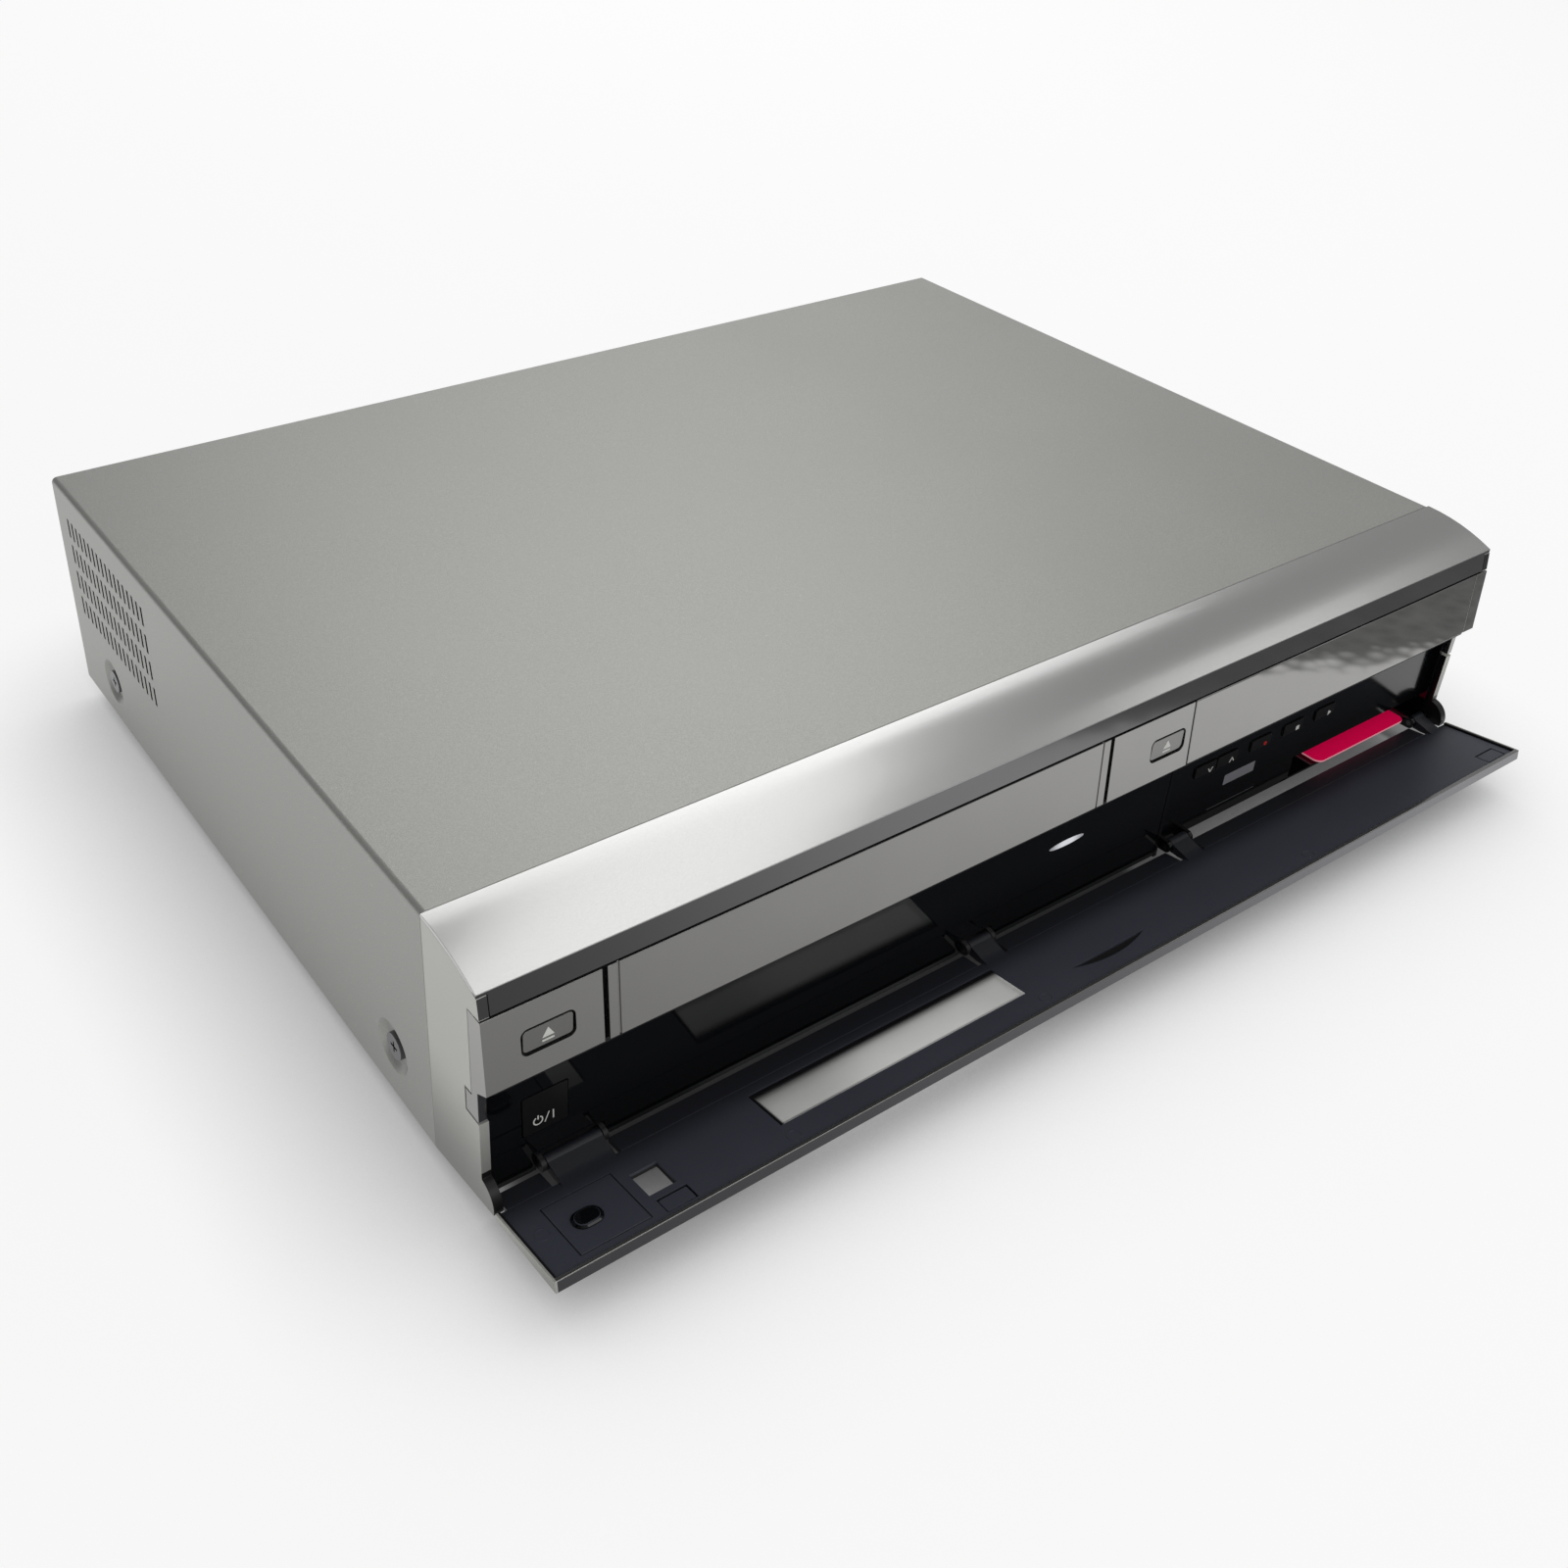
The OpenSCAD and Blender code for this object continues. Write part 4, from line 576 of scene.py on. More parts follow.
def window_clear(pane):
    haze = pane.noise(80, 3.0)
    low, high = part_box("flap_window")
    x = pane.axis("X")
    # Painted shade: the pane darkens and grows more opaque along its hinge edge and its left edge.
    back = pane.step(pane.axis("Y"), *(high[1] - inset for inset in PANE_SHADE_BACK))
    left = pane.step(x, *(low[0] + inset for inset in PANE_SHADE_LEFT))
    painted_shade = back.math("MAXIMUM", left)
    clear = pane.between(haze, linear(0.84, 0.84, 0.83), linear(0.88, 0.88, 0.87))
    base = pane.between(painted_shade, clear, linear(0.07, 0.07, 0.08))
    # Painted light: the pane glows, more towards the right, in place of light from the floor below
    # it.
    lit = pane.step(x, *(low[0] + inset for inset in PANE_PAINTED_LIGHT)) * (1 - painted_shade)
    glow = pane.between(lit, linear(0.02, 0.02, 0.02), linear(0.80, 0.80, 0.79))
    pane.surface(base, 0.06 + haze * 0.05, Alpha=0.42 + painted_shade * 0.46)
    pane.surface(Emission_Color=glow, Emission_Strength=0.27)
    pane.material.surface_render_method = "BLENDED"


def card_red(card):
    low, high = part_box("access_card")
    middle = (low[2] + high[2]) / 2
    fine = card.noise(900, 2.0)
    # Painted highlight: the card's thin edge takes the pale edge colour.
    edge_highlight = abs(card.axis("Z") - middle) < (high[2] - low[2]) * 0.46
    base = card.mottled(fine, tone_of("card"), 0.90, 1.06)
    highlit_card = card.between(edge_highlight, base, tone_of("card_edge"))
    card.surface(highlit_card, 0.22 + fine * 0.06)
    # Painted light: the card glows in its own colours so that it stays bright in its dark slot.
    card.surface(Emission_Color=highlit_card, Emission_Strength=0.30)


def rear_steel(paint):
    grain = paint.noise(2200, 2.0)
    cloud = paint.noise(12, 3.0)
    base = paint.mottled(cloud, tone_of("cover", 0.9), 0.88, 1.08)
    paint.surface(base, 0.42 + cloud * 0.08, Metallic=0.3)
    paint.relief(grain, 0.05 * MM, 0.5)


def display_glass(tube):
    haze = tube.noise(60, 2.0)
    base = tube.between(haze, linear(0.05, 0.09, 0.09), linear(0.08, 0.13, 0.13))
    tube.surface(base, 0.05 + haze * 0.04)


def board_green(board):
    cells = board.add("TexVoronoi", {"Vector": board.place, "Scale": 260.0})
    tracks = board.step(cells, 0.42, 0.46)
    base = board.mottled(tracks, tone_of("board"), 1.0, 1.7)
    board.surface(base, 0.35 + tracks * 0.1)
    board.relief(tracks, 0.03 * MM, 0.5)


def lamp_lens(lens):
    """Milky lens that is lit from behind, brightest in its middle."""
    haze = lens.noise(300, 2.0)
    width = settings("sizes").lamp_w
    glow = lens.step(abs(lens.axis("X") - LAMP[0]), 0.1 * width, 0.5 * width, 1.0, 0.12)
    base = lens.between(haze, linear(0.62, 0.62, 0.64), linear(0.74, 0.74, 0.75))
    lit = lens.between(glow, linear(0.15, 0.15, 0.16), linear(0.92, 0.93, 0.95))
    lens.surface(base, 0.2 + haze * 0.1)
    lens.surface(Emission_Color=lit, Emission_Strength=0.55)


OWN_FINISHES = (
    cover_paint, trim_silver, cheek_silver, fascia_gloss, key_grey, liner_black, flap_silver,
    window_clear, card_red, rear_steel, display_glass, board_green, lamp_lens,
)


def leave_edit():
    bpy.ops.object.mode_set(mode="OBJECT")


def deselect():
    """Leaves edit mode and selects nothing."""
    active = bpy.context.view_layer.objects.active
    if active and active.mode != "OBJECT":
        leave_edit()
    bpy.ops.object.select_all(action="DESELECT")


def select_only(piece):
    deselect()
    piece.select_set(True)
    bpy.context.view_layer.objects.active = piece


def edit_all():
    """Enters edit mode with the whole mesh selected."""
    bpy.ops.object.mode_set(mode="EDIT")
    bpy.ops.mesh.select_all(action="SELECT")


def select(kind, test):
    """Selects the vertices, edges or faces that pass a test, in edit mode."""
    bpy.ops.object.mode_set(mode="EDIT")
    bpy.ops.mesh.select_mode(type=kind)
    bpy.ops.mesh.select_all(action="DESELECT")
    mesh = bmesh.from_edit_mesh(bpy.context.object.data)
    for item in {"VERT": mesh.verts, "EDGE": mesh.edges, "FACE": mesh.faces}[kind]:
        item.select_set(bool(test(item)))
    mesh.select_flush_mode()
    bmesh.update_edit_mesh(bpy.context.object.data)


def every(item):
    return True


def along_y(line):
    """Passes an edge that runs along y."""
    run = line.verts[0].co - line.verts[1].co
    return abs(run.x) < TINY and abs(run.z) < TINY


def across_y(line):
    """Passes an edge that lies on a plane of constant y."""
    return abs(line.verts[0].co.y - line.verts[1].co.y) < TINY


def before(y):
    """A test for edges in front of a plane of constant y."""
    return lambda line: all(point.co.y < y for point in line.verts)


def round_edges(test, radius, segments):
    select("EDGE", test)
    bpy.ops.mesh.bevel(offset=radius, segments=segments, affect="EDGES")
    leave_edit()


def extrude(move):
    bpy.ops.mesh.extrude_region_move(TRANSFORM_OT_translate={"value": move})


def place_in_mesh():
    bpy.ops.object.transform_apply(location=True, rotation=True, scale=True)


def block(low, high, turn=0.0):
    """A block between two corners, turned about y."""
    deselect()
    low, high = Vector(low), Vector(high)
    bpy.ops.mesh.primitive_cube_add(
        size=1, location=(low + high) / 2, scale=high - low, rotation=(0, turn, 0)
    )
    place_in_mesh()
    return bpy.context.object


def disc(middle, radius, depth, steps):
    """A cylinder along y, from its middle inwards by depth."""
    deselect()
    place = Vector(middle) + Vector((0, depth / 2, 0))
    turn = (QUARTER_TURN, 0, 0)
    bpy.ops.mesh.primitive_cylinder_add(
        vertices=steps, radius=radius, depth=depth, location=place, rotation=turn
    )
    place_in_mesh()
    return bpy.context.object


def circle(middle, radius, steps, fill="NOTHING", turn=0.0):
    """A circle that looks along y."""
    deselect()
    turn = (QUARTER_TURN, turn, 0)
    bpy.ops.mesh.primitive_circle_add(
        vertices=steps, radius=radius, fill_type=fill, location=middle, rotation=turn
    )
    place_in_mesh()
    return bpy.context.object


def turned(middle, profile, steps):
    """Turns a closed profile of (radius, depth) points, in millimetres, round y at middle."""
    piece = circle(middle + Vector((0, profile[0][1] * MM, 0)), profile[0][0] * MM, steps)
    edit_all()
    for (radius, depth), (next_radius, next_depth) in zip(profile, profile[1:] + profile[:1]):
        move = (0, (next_depth - depth) * MM, 0)
        bpy.ops.mesh.extrude_edges_move(TRANSFORM_OT_translate={"value": move})
        share = next_radius / radius
        bpy.ops.transform.resize(value=(share, 1, share), center_override=middle)
    bpy.ops.mesh.select_all(action="SELECT")
    bpy.ops.mesh.remove_doubles(threshold=0.1 * TINY)
    bpy.ops.mesh.normals_make_consistent(inside=False)
    leave_edit()
    return piece


def turned_at(spots, profile, steps):
    """Copies of one turned piece at several places, joined."""
    pieces = [turned(spots[0], profile, steps)]
    for spot in spots[1:]:
        select_only(pieces[0])
        bpy.ops.object.duplicate()
        bpy.context.object.location = spot - spots[0]
        place_in_mesh()
        pieces.append(bpy.context.object)
    return join(pieces)


def rounded_plate(low, high, corner, edge):
    """A plate that looks along y, with round corners and a small bevel round its faces."""
    plate = block(low, high)
    round_edges(along_y, corner, 6)
    round_edges(across_y, edge, 2)
    return plate


def join(pieces):
    """Joins pieces into the first one."""
    select_only(pieces[0])
    for piece in pieces:
        piece.select_set(True)
    if len(pieces) > 1:
        bpy.ops.object.join()
    return pieces[0]


def settle(piece, name, body, finish, replaced=None):
    """Names a piece, gives it its finish and its body, and hides the node that it stands for."""
    select_only(piece)
    bpy.ops.object.shade_smooth_by_angle(angle=SMOOTH_ANGLE)
    flat_faces = piece.modifiers.new("flat_faces", "WEIGHTED_NORMAL")
    flat_faces.keep_sharp = True
    flat_faces.weight = 100
    bpy.ops.object.modifier_apply(modifier="flat_faces")
    piece.name = name
    piece.data.name = name
    piece.data.materials.clear()
    piece.data.materials.append(bpy.data.materials["finish_" + finish])
    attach(piece, body)
    if replaced:
        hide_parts(replaced)


def rounded_copy(node, radius, segments):
    """A copy of a node with rounded edges."""
    select_only(frame["nodes"][node])
    bpy.ops.object.duplicate()
    piece = bpy.context.object
    select("VERT", every)
    bpy.ops.mesh.remove_doubles(threshold=0.2 * TINY)
    bpy.ops.mesh.dissolve_limited(angle_limit=FLAT_ANGLE)
    leave_edit()
    bpy.ops.object.shade_smooth()
    rounding = piece.modifiers.new("rounding", "BEVEL")
    rounding.width = radius
    rounding.segments = segments
    rounding.limit_method = "ANGLE"
    rounding.angle_limit = EDGE_ANGLE
    bpy.ops.object.modifier_apply(modifier="rounding")
    return piece


def stand_in(piece, node):
    """Settles a piece in the place of a node, in its finish and on its body."""
    settle(piece, "soft_" + node, BODY_OF[node], SLOT_OF[node], replaced=node)


def soften(radius, segments, *nodes):
    """Stands copies with rounded edges in for some nodes."""
    for node in nodes:
        stand_in(rounded_copy(node, radius, segments), node)


def opened(piece):
    """Turns a piece modelled on the closed flap to its place on the open one."""
    hinge = JOINT["flap_hinge"]
    axis = Matrix.Translation(hinge["pos_m"])
    swing = Matrix.Rotation(-radians(hinge["range_deg"][0]), 4, "X")
    select_only(piece)
    piece.matrix_world = axis @ swing @ axis.inverted()
    place_in_mesh()
    return piece


def bare_nodes(owner):
    """The emptied node tree of a material or a world."""
    owner.use_nodes = True
    owner.node_tree.nodes.clear()
    return Nodes(owner.node_tree)


class RECORDER_OT_stage(bpy.types.Operator):
    """Sets up the camera, the pale floor and the soft lights"""

    bl_idname = "recorder.stage"
    bl_label = "Stage"

    def execute(self, context):
        stage = settings("stage")
        self.camera(context, stage)
        self.floor(stage)
        self.sky(context, stage)
        self.softbox("front_edge_softbox", *KEY_BOX, stage.key, turn=KEY_TURN)
        self.softbox("back_softbox", *BACK_BOX, stage.back)
        self.softbox("right_softbox", *SIDE_BOX, stage.side)
        self.softbox("fill_softbox", *FILL_BOX, stage.fill, FILL_TARGET)
        context.scene.view_settings.view_transform = "Standard"
        return {"FINISHED"}

    def camera(self, context, stage):
        data = bpy.data.cameras.new("camera")
        data.sensor_width = 36.0
        data.lens = stage.lens
        data.shift_x, data.shift_y = CAMERA_SHIFT
        data.clip_start = 0.01
        camera = bpy.data.objects.new("camera", data)
        turn = Matrix((CAMERA_RIGHT, CAMERA_UP, CAMERA_BACK)).transposed()
        camera.matrix_world = Matrix.Translation(CAMERA_PLACE) @ turn.to_4x4()
        context.scene.collection.objects.link(camera)
        context.scene.camera = camera

    def floor(self, stage):
        """A matt floor that looks evenly pale but keeps a soft shadow round the object."""
        deselect()
        bpy.ops.mesh.primitive_plane_add(size=FLOOR_SIZE)
        floor = bpy.context.object
        floor.name = "floor"
        edit_all()
        bpy.ops.mesh.subdivide(number_cuts=3)
        leave_edit()
        material = bpy.data.materials.new("floor")
        nodes = bare_nodes(material)
        rays = ("Is Camera Ray", "Is Glossy Ray", "Is Transmission Ray")
        straight, mirrored, through = (nodes.add("LightPath", out=ray) for ray in rays)
        seen = straight.math("MAXIMUM", mirrored).math("MAXIMUM", through)
        shelter = nodes.add("AmbientOcclusion", {"Distance": FLOOR_SHELTER}, out="AO")
        place = nodes.add("TexCoord", out="Object")
        x, y = nodes.part(place, "X"), nodes.part(place, "Y")
        reflected = 1 - mirrored * (1 - self.far_floor(nodes, place, x, y))
        level = shelter * reflected * self.under_body(nodes, x, y)
        glow = nodes.add("Emission", {"Strength": level})
        matt = nodes.add("BsdfDiffuse", {"Color": tuple(stage.backdrop)})
        mixed = nodes.add("MixShader", {0: seen * FLOOR_GLOW, 1: matt, 2: glow})
        nodes.add("OutputMaterial", {"Surface": mixed})
        floor.data.materials.append(material)

    def under_body(self, nodes, x, y):
        """Level of the floor in the deep shade under the body."""
        (x0, y0), (x1, y1) = UNDER_BODY
        blur_x, blur_y = UNDER_BLUR
        across = nodes.step(x, x0, x0 + blur_x) * nodes.step(x, x1 - blur_x, x1, 1.0, 0.0)
        painted_shade = across * nodes.step(y, y0, y0 + blur_y) * (y < y1)
        corner = nodes.step(x, *UNDER_END) * nodes.step(y, *UNDER_CORNER, *UNDER_CORNER_SHADE)
        beside = nodes.step(x, *UNDER_SIDE) * nodes.step(y, *UNDER_CORNER)
        level = nodes.step(x, *UNDER_STEP) * (1 - corner)
        return 1 - painted_shade * (1 - level) * (1 - beside)

    def far_floor(self, nodes, place, x, y):
        """Level of the floor in mirrors: dim on the left, with a dark cloth front right."""
        weave = nodes.add("TexVoronoi", {"Vector": place, "Scale": CLOTH_KNOTS})
        edge = (x - CLOTH_CORNER[0]) * CLOTH_NORMAL[0] + (y - CLOTH_CORNER[1]) * CLOTH_NORMAL[1]
        cloth = nodes.step(edge + (weave - 0.4) * CLOTH_FRAY, 0.0, CLOTH_FRAY)
        front = nodes.step(y, *FLOOR_FRONT, 1.0, 0.0)
        falloff = 1 - front * nodes.step(x, *FLOOR_FADE)
        return falloff * (1 - cloth * (0.97 - weave * 0.12))

    def sky(self, context, stage):
        """An even sky, a pale backdrop, and for mirrors a dim room, darkest on the left."""
        world = bpy.data.worlds.new("studio")
        context.scene.world = world
        nodes = bare_nodes(world)
        world.cycles.sampling_method = "NONE"
        x = nodes.part(nodes.add("TexCoord", out="Generated"), "X")
        shown = nodes.add("Background", {"Strength": stage.sky})
        room = nodes.add("Background", {"Strength": nodes.step(x, *ROOM_FADE, stage.room)})
        pale = nodes.add("Background", {"Color": tuple(stage.backdrop)})
        for ray, light in (("Is Glossy Ray", room), ("Is Camera Ray", pale)):
            path = nodes.add("LightPath", out=ray)
            shown = nodes.add("MixShader", {0: path, 1: shown, 2: light})
        nodes.add("OutputWorld", {"Surface": shown})

    def softbox(self, name, place, size, power, target=None, turn=0.0):
        """A rectangular lamp that looks down, turned about z, or that looks at a target."""
        data = bpy.data.lights.new(name, "AREA")
        data.shape = "RECTANGLE"
        data.size, data.size_y = size
        data.energy = power
        lamp = bpy.data.objects.new(name, data)
        lamp.location = place
        lamp.rotation_euler = (0.0, 0.0, turn)
        if target:
            aim = Vector(target) - Vector(place)
            lamp.rotation_euler = aim.to_track_quat("-Z", "Y").to_euler()
        bpy.context.scene.collection.objects.link(lamp)


class RECORDER_OT_finishes(bpy.types.Operator):
    """Makes the finishes and gives every node of the frame its own"""

    bl_idname = "recorder.finishes"
    bl_label = "Finishes"

    def execute(self, context):
        for make in OWN_FINISHES:
            make(Finish(make.__name__))
        rows = [
            (polished, "panel_black", tone_of("panel"), 0.03),
            (polished, "control_black", tone_of("panel"), 0.10),
            (moulded, "frame_black", tone_of("moulded"), 0.45),
            (moulded, "key_black", tone_of("moulded", 0.40), 0.30, 2600),
            (plated, "pan_steel", tone_of("steel"), 0.38),
            (plated, "contact_gilt", tone_of("brass"), 0.22, ALL_WAYS),
            (printed, "mark_white", tone_of("mark")),
            (printed, "mark_red", tone_of("record_dot")),
            (printed, "label_grey", tone_of("label")),
            # Grey of the slot's painted highlight
            (printed, "line_grey", tone_of("label", 0.35)),
        ]
        for make, table in ((plated, PLATED), (moulded, MOULDED)):
            rows += [(make, name, linear(*tone), *look) for name, (tone, *look) in table.items()]
        for make, name, *look in rows:
            make(Finish(name), *look)
        for node, piece in frame["nodes"].items():
            if not piece.material_slots:
                raise RuntimeError("the node has no material slot: " + node)
            for place in piece.material_slots:
                place.material = bpy.data.materials["finish_" + SLOT_OF[node]]
        return {"FINISHED"}


class RECORDER_OT_casing(bpy.types.Operator):
    """Rounds the edges of the cover, the rear panel, the trim and the cheeks"""

    bl_idname = "recorder.casing"
    bl_label = "Casing"

    def execute(self, context):
        sizes = settings("sizes")
        soften(sizes.sheet_edge, 1, "top_cover", "rear_panel")
        soften(sizes.soft_edge, 3, "top_trim", "left_cheek", "right_cheek")
        return {"FINISHED"}


class RECORDER_OT_fascia(bpy.types.Operator):
    """Rounds the edges of the fascia pieces and the two lower panels"""

    bl_idname = "recorder.fascia"
    bl_label = "Fascia"

    def execute(self, context):
        sizes = settings("sizes")
        soften(sizes.soft_edge, 3, "end_panel", "cassette_door", "tray_front")
        for node, key in (("eject_panel", "tape_eject_key"), ("middle_panel", "disc_eject_key")):
            panel = rounded_copy(node, sizes.soft_edge, 3)
            self.widen_hole(panel, key, sizes)
            stand_in(panel, node)
        soften(sizes.soft_edge * 0.7, 2, "lower_panel", "control_panel")
        return {"FINISHED"}

    def widen_hole(self, panel, key, sizes):
        """Cuts a round-cornered gap through a panel round its eject key."""
        low, high = map(Vector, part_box(key))
        spread = sizes.key_recess - sizes.key_flange
        reach = Vector((spread, 0, spread))
        ahead = Vector((0, KEY_GAP_AHEAD, 0))
        cutter = rounded_plate(low - reach - ahead, high + reach, KEY_GAP_CORNER, KEY_GAP_EDGE)
        select_only(panel)
        gap = panel.modifiers.new("key_gap", "BOOLEAN")
        gap.object = cutter
        gap.solver = "EXACT"
        bpy.ops.object.modifier_apply(modifier="key_gap")
        bpy.data.objects.remove(cutter)


class RECORDER_OT_flap(bpy.types.Operator):
    """Rounds the flap's pieces and adds its key's collar, its tabs and its moulding marks"""

    bl_idname = "recorder.flap"
    bl_label = "Flap"

    def execute(self, context):
        sizes = settings("sizes")
        soften(sizes.soft_edge, 3, "flap_shell")
        soften(sizes.soft_edge * 0.5, 2, "flap_liner", "flap_edge", "flap_key")
        soften(sizes.soft_edge * 0.4, 2, "flap_window")
        bpy.data.objects["soft_flap_window"].visible_shadow = False
        axis = Vector(JOINT["flap_hinge"]["pos_m"])
        face = Vector((0, axis.y + LINER_LEVEL, axis.z))
        self.button(face)
        self.tabs(face)
        self.moulding_marks(face, sizes)
        return {"FINISHED"}

    def plate(self, face, x, y, z, corner, edge):
        """A round-cornered plate on the liner."""
        low, high = (face + Vector(mm(*ends)) for ends in zip(x, y, z))
        return rounded_plate(low, high, *mm(corner, edge))

    def button(self, face):
        """A polished collar round the oval button of the flap key, and the button's cap."""
        collar = self.plate(face, *BUTTON_COLLAR)
        select("FACE", lambda side: side.normal.y > 0.9)
        bpy.ops.mesh.inset(thickness=COLLAR_RIM)
        extrude((0, -COLLAR_SINK, 0))
        leave_edit()
        button = join([collar, self.plate(face, *BUTTON_CAP)])
        settle(opened(button), "flap_button", BODY_OF["flap_key"], "panel_black")

    def tabs(self, face):
        """Tabs in the two shallow recesses, over black sheets that paint the shade in the gaps
        round them.
        """
        plates = join([self.plate(face, *row) for row in FLAP_TABS])
        settle(opened(plates), "flap_tabs", FLAP, "liner_black")
        shade_sheets = join([self.plate(face, *row) for row in TAB_SHADE_SHEETS])
        settle(opened(shade_sheets), "tab_grounds", FLAP, "panel_black")

    def moulding_marks(self, face, sizes):
        """Thin raised rings where the moulding was pushed out of its tool."""
        profile = [(0.2, -0.05), (0.12, 0.1), (-0.12, 0.1), (-0.2, -0.05)]
        ring = [(sizes.ring_mark / MM + out, depth) for out, depth in profile]
        spots = [face + Vector((x, 0, z)) for x, z in MOULDING_MARKS]
        rings = opened(turned_at(spots, ring, sizes.ring_count))
        settle(rings, "moulding_marks", FLAP, "liner_black")


class RECORDER_OT_keys(bpy.types.Operator):
    """Rounds the keys and prints a plain symbol on each"""

    bl_idname = "recorder.keys"
    bl_label = "Keys"

    def execute(self, context):
        sizes = settings("sizes")
        for node in ("tape_eject_key", "disc_eject_key"):
            soften(sizes.soft_edge, 3, node)
            self.on_key(node, self.eject(sizes), sizes.eject_drop)
        soften(sizes.soft_edge * 0.6, 2, "power_key")
        self.on_key("power_key", self.power(sizes), sizes.power_drop)
        side = sizes.key_mark * 0.7
        icons = {
            "channel_down_key": self.chevron(sizes, -1),
            "channel_up_key": self.chevron(sizes, 1),
            "record_key": [self.dot(sizes)],
            "stop_key": [self.bar((0, 0), (side, side), sizes)],
            "play_key": [self.triangle(sizes.key_mark * 0.5, sizes, QUARTER_TURN)],
        }
        for node, pieces in icons.items():
            soften(sizes.soft_edge * 0.8, 2, node)
            ink = "mark_red" if node == "record_key" else "mark_white"
            self.on_key(node, pieces, sizes.mark_drop, sizes.mark_shift, ink)
        return {"FINISHED"}

    def on_key(self, node, pieces, drop, shift=0.0, ink="mark_white"):
        """Joins a symbol drawn round the origin and moves it onto the key's front."""
        symbol = join(pieces)
        low, high = map(Vector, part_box(node))
        middle = (low + high) / 2
        symbol.location = (middle.x + shift, low.y, middle.z - drop)
        select_only(symbol)
        place_in_mesh()
        settle(symbol, node.replace("_key", "_symbol"), BODY_OF[node], ink)

    def bar(self, middle, size, sizes, turn=0.0):
        """A flat bar on the y = 0 plane, as thick as a print."""
        reach = Vector((size[0] / 2, sizes.print_t, size[1] / 2))
        centre = Vector((middle[0], 0, middle[1]))
        piece = block(centre - reach, centre + reach, turn)
        self.bevel_front(sizes)
        return piece

    def bevel_front(self, sizes):
        """Bevels the edges of the front face of a flat mark."""
        round_edges(before(-sizes.print_t / 2), sizes.mark_edge, 1)

    def triangle(self, radius, sizes, turn=0.0):
        """A flat triangle that points up, or to the right with a quarter turn."""
        piece = circle((0, 0, 0), radius, 3, "NGON", turn)
        select("FACE", every)
        extrude((0, -sizes.print_t, 0))
        leave_edit()
        self.bevel_front(sizes)
        return piece

    def eject(self, sizes):
        width = sizes.eject_mark
        arrow = self.triangle(width * 0.5, sizes)
        select_only(arrow)
        arrow.location.z = width * 0.16
        place_in_mesh()
        foot = self.bar((0, -width * 0.34), (width * 0.86, width * 0.15), sizes)
        return [arrow, foot]

    def chevron(self, sizes, way):
        wide = sizes.key_mark
        slant = way * radians(58)
        return [
            self.bar((side * wide * 0.22, 0), (wide * 0.85, sizes.stroke), sizes, side * slant)
            for side in (-1, 1)
        ]

    def dot(self, sizes):
        thick = sizes.print_t
        round_dot = disc((0, -thick, 0), sizes.key_mark * 0.34, thick * 2, 32)
        round_edges(before(-thick / 2), thick / 2, 2)
        return round_dot

    def power(self, sizes):
        """A broken ring with a stroke in its gap, a slash and a bar."""
        radius = sizes.power_mark / 2
        left = -radius * 1.5
        ring = circle((left, 0, 0), radius, sizes.ring_count)
        gap = radius * 0.42
        select("VERT", lambda point: point.co.z > 0 and abs(point.co.x - left) < gap)
        bpy.ops.mesh.delete(type="VERT")
        bpy.ops.mesh.select_all(action="SELECT")
        bpy.ops.mesh.extrude_edges_move()
        inner = 1 - sizes.stroke / radius
        bpy.ops.transform.resize(value=(inner, 1, inner), center_override=(left, 0, 0))
        bpy.ops.mesh.select_all(action="SELECT")
        extrude((0, -sizes.print_t, 0))
        bpy.ops.mesh.select_all(action="SELECT")
        bpy.ops.mesh.normals_make_consistent(inside=False)
        leave_edit()
        thin = sizes.stroke * 0.8
        stroke = self.bar((left, radius * 0.75), (sizes.stroke, radius), sizes)
        slash = self.bar((radius * 0.25, 0), (radius * 2.3, thin), sizes, radians(-68))
        line = self.bar((radius * 1.5, 0), (sizes.stroke, radius * 2.0), sizes)
        return [ring, stroke, slash, line]


